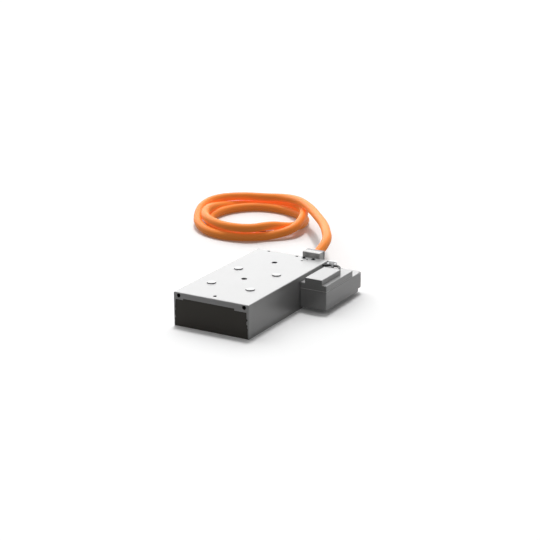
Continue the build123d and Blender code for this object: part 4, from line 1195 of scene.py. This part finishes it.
@dataclass
class Clamp:
    """The cable clamp's screws and the rubber seal round the cable.

    Attributes:
        gland: Where the cable leaves the clamp.
        tilt: The cable's rise there, in degrees.
        cable: The cable's diameter.
        wall: Room between cable and clamp.
        play: Play between the seal and its neighbours.
        reach: The seal's length.
        proud: How far the seal stands out of the clamp.
        lip: Rounding of the seal's lip.
        corner: The turn from which an edge of the seal is rounded, in radians.
        screw: The screws' size.
        top_seats: Seats of the upright screws.
        rear_seats: Seats of the screws in the rear half.
    """

    gland: Point = (25.4, 111.0, 39.4)
    tilt: float = 20.0
    cable: float = 12.0
    wall: float = 0.6
    play: float = 0.02
    reach: float = 5.0
    proud: float = 0.7
    lip: float = 0.22
    corner: float = 1.0
    screw: CapScrew = CapScrew(3.0, 5.5, 3.0, 8.0)
    top_seats: tuple[Point, ...] = ((18.9, 91.0, 37.7), (31.9, 91.0, 37.7))
    rear_seats: tuple[Point, ...] = ((16.9, 108.0, 32.2), (33.9, 108.0, 32.2))

    def build(self) -> None:
        """Fit the screws and the seal."""
        black = Slot.BLACK_STEEL
        self.screw.fit("clamp_top_screws", black, "clamp_screws", self.top_seats, (0, 0, -1))
        self.screw.fit("clamp_rear_screws", black, "clamp_back_screws", self.rear_seats, (0, -1, 0))
        self.build_seal()

    def build_seal(self) -> None:
        """Roll the seal's lip out of the clamp round the cable."""
        deselect()
        lean = math.radians(self.tilt)
        along = Vector((0, math.cos(lean), math.sin(lean)))
        middle = Vector(self.gland) * MM - along * (self.reach / 2 - self.proud) * MM
        bpy.ops.mesh.primitive_cylinder_add(
            vertices=48,
            radius=(self.cable / 2 + self.play) * MM,
            depth=self.reach * MM,
            end_fill_type="NOTHING",
            location=middle,
            rotation=(lean - math.pi / 2, 0, 0),
        )
        seal = bpy.context.active_object
        settle(seal)
        thick = seal.modifiers.new("wall", "SOLIDIFY")
        thick.thickness = (self.wall - 2 * self.play) * MM
        thick.offset = 1.0
        apply_modifier(seal, thick)
        front = middle.dot(along) + self.reach / 2 * MM * AT_END
        start_edit(seal)
        pick_edges(
            seal,
            lambda e: all(v.co.dot(along) > front for v in e.verts)
            and e.calc_face_angle(0) > self.corner,
        )
        break_edges(self.lip, segments=3)
        end_edit()
        smooth(seal, degrees=50)
        hand_over(seal, "clamp_seal", Slot.BLACK_RUBBER, "cable_seal")


@dataclass
class HeadFittings:
    """The sensor head's screws and the grommets of its wires.

    Attributes:
        cover_screw: Size of the screws that hold the cover.
        cover_seats: Their seats, from below.
        clip_screw: Size of the screw that holds the wires' holder.
        clip_seat: Its seat.
        grommets: Middle of each grommet.
        grommet: A grommet's diameter and length.
        collar: Width and rise of the ring on a grommet's face.
        mouth: Lean and depth of the wall inside that ring.
        rounding: Rounding of its edges.
        corner: The turn from which an edge of it is rounded, in radians.
    """

    cover_screw: CapScrew = CapScrew(2.5, 4.5, 2.0, 25.7)
    cover_seats: tuple[Point, ...] = (
        (53.5, 25.9, 5.9), (53.5, 88.4, 5.9), (82.8, 25.9, 5.9), (82.8, 88.4, 5.9),
    )
    clip_screw: CapScrew = CapScrew(2.5, 4.0, 1.4, 6.0)
    clip_seat: Point = (51.2, 93.4, 36.85)
    grommets: tuple[Point, ...] = ((66.5, 71.9, 38.6), (76.0, 71.9, 38.6))
    grommet: tuple[float, float] = (5.0, 1.2)
    collar: tuple[float, float] = (0.9, 0.1)
    mouth: tuple[float, float] = (0.12, 0.6)
    rounding: float = 0.2
    corner: float = 1.2

    def build(self) -> None:
        """Fit each piece."""
        bright = Slot.BRIGHT_STEEL
        up, left = (0, 0, 1), (-1, 0, 0)
        self.cover_screw.fit("head_cover_screws", bright, "cover_screws", self.cover_seats, up)
        self.clip_screw.fit("wire_clip_screw", bright, "clip_screw", [self.clip_seat], left)
        self.build_grommets()

    def build_grommets(self) -> None:
        """Mould a rounded rubber ring round each wire."""
        made = []
        border, rise = self.collar
        for middle in self.grommets:
            ring = new_rod("grommet", middle, Axis.Y, *self.grommet, sides=32)
            start_edit(ring)
            pick_faces(ring, lambda f: f.normal.y > FACING)
            sink(border, -rise)
            sink(*self.mouth)
            pick_edges(ring, lambda e: e.calc_face_angle(0) > self.corner)
            break_edges(self.rounding, segments=3, clamp=True)
            end_edit()
            made.append(ring)
        rings = join(made)
        smooth(rings, degrees=45)
        hand_over(rings, "lid_grommets", Slot.BLACK_RUBBER, "wire_grommets")


@dataclass
class SignalWires:
    """The two black wires from the raised lid back into the unit.

    Attributes:
        diameter: A wire's diameter.
        routes: Control points of each wire.
    """

    diameter: float = 3.0
    routes: tuple[tuple[Point, ...], ...] = (
        (
            (66.5, 70.3, 38.6), (66.5, 77.0, 39.8), (62.0, 82.5, 41.2), (55.5, 83.0, 39.6),
            (44.5, 82.4, 37.2),
        ),
        (
            (76.0, 70.3, 38.6), (76.0, 77.5, 39.8), (70.0, 84.0, 40.4), (62.0, 89.0, 37.6),
            (44.5, 89.6, 37.2),
        ),
    )

    def build(self) -> None:
        """Lay both wires and hand them over as one piece."""
        made = [tube(f"wire_{i}", r, self.diameter, steps=8) for i, r in enumerate(self.routes)]
        hold(made[0])
        for wire in made:
            wire.select_set(True)
        bpy.ops.object.convert(target="MESH")
        bpy.ops.object.join()
        wires = bpy.context.view_layer.objects.active
        smooth(wires, degrees=60)
        hand_over(wires, "head_wires", Slot.BLACK_SHEATH, "signal_wires")


@dataclass(frozen=True)
class BrokenForm:
    """A housing or clamp half, taken from its CAD node and given rounded edges.

    Attributes:
        node: The CAD node.
        name: The new piece's name.
        slot: Its material slot.
        width: Width of the rounding.
    """

    node: str
    name: str
    slot: Slot
    width: float

    def build(self) -> None:
        """Copy the node, merge its loose triangles and round its sharp edges."""
        piece = bpy.data.objects.new(self.name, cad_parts[self.node].data.copy())
        bpy.context.scene.collection.objects.link(piece)
        start_edit(piece)
        bpy.ops.mesh.select_all(action="SELECT")
        bpy.ops.mesh.customdata_custom_splitnormals_clear()
        bpy.ops.mesh.remove_doubles(threshold=MERGED * MM)
        bpy.ops.mesh.dissolve_limited(angle_limit=math.radians(FLAT))
        sharp = math.radians(SHARP)
        pick_edges(piece, lambda e: len(e.link_faces) == 2 and e.calc_face_angle(0.0) > sharp)
        break_edges(self.width, segments=2, clamp=True)
        end_edit()
        even_normals(piece)
        hand_over(piece, self.name, self.slot, self.node)


BROKEN_FORMS = (
    BrokenForm("clamp_block", "clamp_front_half", Slot.CLAMP_ALUMINIUM, 0.12),
    BrokenForm("clamp_back", "clamp_rear_half", Slot.CLAMP_DARK, 0.12),
    BrokenForm("encoder_base", "head_lower_shell", Slot.HEAD_ALUMINIUM, 0.15),
    BrokenForm("encoder_lid", "head_upper_shell", Slot.HEAD_ALUMINIUM, 0.15),
    BrokenForm("encoder_end_cap", "head_rear_cap", Slot.HEAD_ALUMINIUM, 0.15),
    BrokenForm("wire_clip", "bent_wire_clip", Slot.CLIP_STEEL, 0.25),
)


@dataclass(frozen=True)
class Lamp:
    """A soft lamp far away.

    Attributes:
        name: Its name.
        towards: Direction from the object to it.
        strength: Strength in watts per square metre.
        spread: Its apparent width in degrees.
    """

    name: str
    towards: Point
    strength: float
    spread: float

    def build(self) -> None:
        """Hang the lamp."""
        light = bpy.data.lights.new(self.name, "SUN")
        light.energy = self.strength
        light.angle = math.radians(self.spread)
        lamp = bpy.data.objects.new(self.name, light)
        lamp.rotation_mode = "QUATERNION"
        lamp.rotation_quaternion = Vector(self.towards).to_track_quat("Z", "Y")
        bpy.context.scene.collection.objects.link(lamp)


@dataclass
class Studio:
    """Pale floor, white surroundings, soft lamps and the camera at the photograph's angle.

    Attributes:
        target: The point that the camera looks at.
        camera_at: Where the camera stands.
        lens: Its focal length.
        sensor: Width of its sensor.
        clip: Nearest and furthest distance that it sees, in metres.
        ambient: Level at which the white surroundings light the object.
        bounce: The floor's colour to the light that it throws back, as sRGB hex.
        glow: How much the floor that is seen shines by itself, to come out white.
        floor_size: The floor's width, in metres.
        drop: How far the floor lies under the object.
        lamps: The lamps.
    """

    target: Point = (-56.41, 138.66, -0.25)
    camera_at: Point = (885.44, -1518.28, 617.12)
    lens: float = 103.65
    sensor: float = 36.0
    clip: tuple[float, float] = (0.01, 50.0)
    ambient: float = 0.12
    bounce: str = "#404040"
    glow: float = 0.03
    floor_size: float = 12.0
    drop: float = 0.1
    lamps: tuple[Lamp, ...] = (
        Lamp("key", (-0.15, 0.30, 1.0), 1.3, 10.0),
        Lamp("rear", (-0.9, 0.75, 1.0), 2.35, 75.0),
        Lamp("side", (1.0, 0.9, 0.3), 0.36, 75.0),
    )

    def build(self) -> None:
        """Set the view, the floor, the world, the lamps and the camera."""
        bpy.context.scene.view_settings.view_transform = "Standard"
        self.build_floor()
        self.build_world()
        for lamp in self.lamps:
            lamp.build()
        self.build_camera()

    def seen_directly(self, tree: bpy.types.NodeTree) -> bpy.types.NodeSocket:
        """Tell rays that show the background, also mirrored or through glass, from other rays.

        Args:
            tree: A material's or the world's node tree.

        Returns:
            A socket that is one where the background is seen.
        """
        path = add_node(tree, "ShaderNodeLightPath").outputs
        found = path["Is Camera Ray"]
        for other in ("Is Glossy Ray", "Is Transmission Ray"):
            either = {0: found, 1: path[other]}
            found = add_node(tree, "ShaderNodeMath", {"operation": "MAXIMUM"}, either).outputs[0]
        return found

    def build_floor(self) -> None:
        """Lay the pale floor, white to the eye and grey to the light that it throws back."""
        place = (0, 0, -self.drop * MM)
        bpy.ops.mesh.primitive_plane_add(size=self.floor_size, location=place)
        plane = bpy.context.active_object
        plane.name = "floor"
        made = bpy.data.materials.new("studio_floor")
        made.use_nodes = True
        tree = made.node_tree
        tree.nodes.clear()
        seen = self.seen_directly(tree)
        white = linear(WHITE)
        shown = add_node(tree, "ShaderNodeBsdfDiffuse", {}, {"Color": white})
        glow = add_node(tree, "ShaderNodeEmission", {}, {"Color": white, "Strength": self.glow})
        lit = add_node(tree, "ShaderNodeAddShader", {}, {0: shown.outputs[0], 1: glow.outputs[0]})
        back = add_node(tree, "ShaderNodeBsdfDiffuse", {}, {"Color": linear(self.bounce)})
        both = {0: seen, 1: back.outputs[0], 2: lit.outputs[0]}
        mixed = add_node(tree, "ShaderNodeMixShader", {}, both)
        add_node(tree, "ShaderNodeOutputMaterial", {}, {"Surface": mixed.outputs[0]})
        plane.data.materials.append(made)

    def build_world(self) -> None:
        """Set white surroundings that light the object at a lower level."""
        world = bpy.data.worlds.new("studio")
        bpy.context.scene.world = world
        world.use_nodes = True
        tree = world.node_tree
        tree.nodes.clear()
        levels = {SHARE: self.seen_directly(tree), NUMBER_A: self.ambient, NUMBER_B: 1.0}
        level = add_node(tree, "ShaderNodeMix", {}, levels).outputs[MIXED_NUMBER]
        light = {"Color": linear(WHITE), "Strength": level}
        sky = add_node(tree, "ShaderNodeBackground", {}, light)
        add_node(tree, "ShaderNodeOutputWorld", {}, {"Surface": sky.outputs[0]})

    def build_camera(self) -> None:
        """Stand the camera at the photograph's place."""
        data = bpy.data.cameras.new("camera")
        data.sensor_width = self.sensor
        data.lens = self.lens
        data.clip_start, data.clip_end = self.clip
        camera = bpy.data.objects.new("camera", data)
        place = Vector(self.camera_at) * MM
        camera.location = place
        camera.rotation_mode = "QUATERNION"
        camera.rotation_quaternion = (Vector(self.target) * MM - place).to_track_quat("-Z", "Y")
        bpy.context.scene.collection.objects.link(camera)
        bpy.context.scene.camera = camera


def dress_frame() -> None:
    """Give every CAD node its finish."""
    for slot, nodes in NODE_SLOTS.items():
        for node in nodes:
            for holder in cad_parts[node].material_slots:
                holder.material = FINISHES[slot].material()


def main() -> None:
    """Build the scene in order."""
    logging.basicConfig(level=logging.INFO, format="%(message)s")
    deselect()
    Studio().build()
    dress_frame()
    cable = SupplyCable()
    cord = cable.build()
    cable.dress(cord, CableEnd().build())
    for part in (SeatingPads(), Clamp(), HeadFittings(), SignalWires(), *BROKEN_FORMS):
        part.build()


if __name__ == "__main__":
    main()
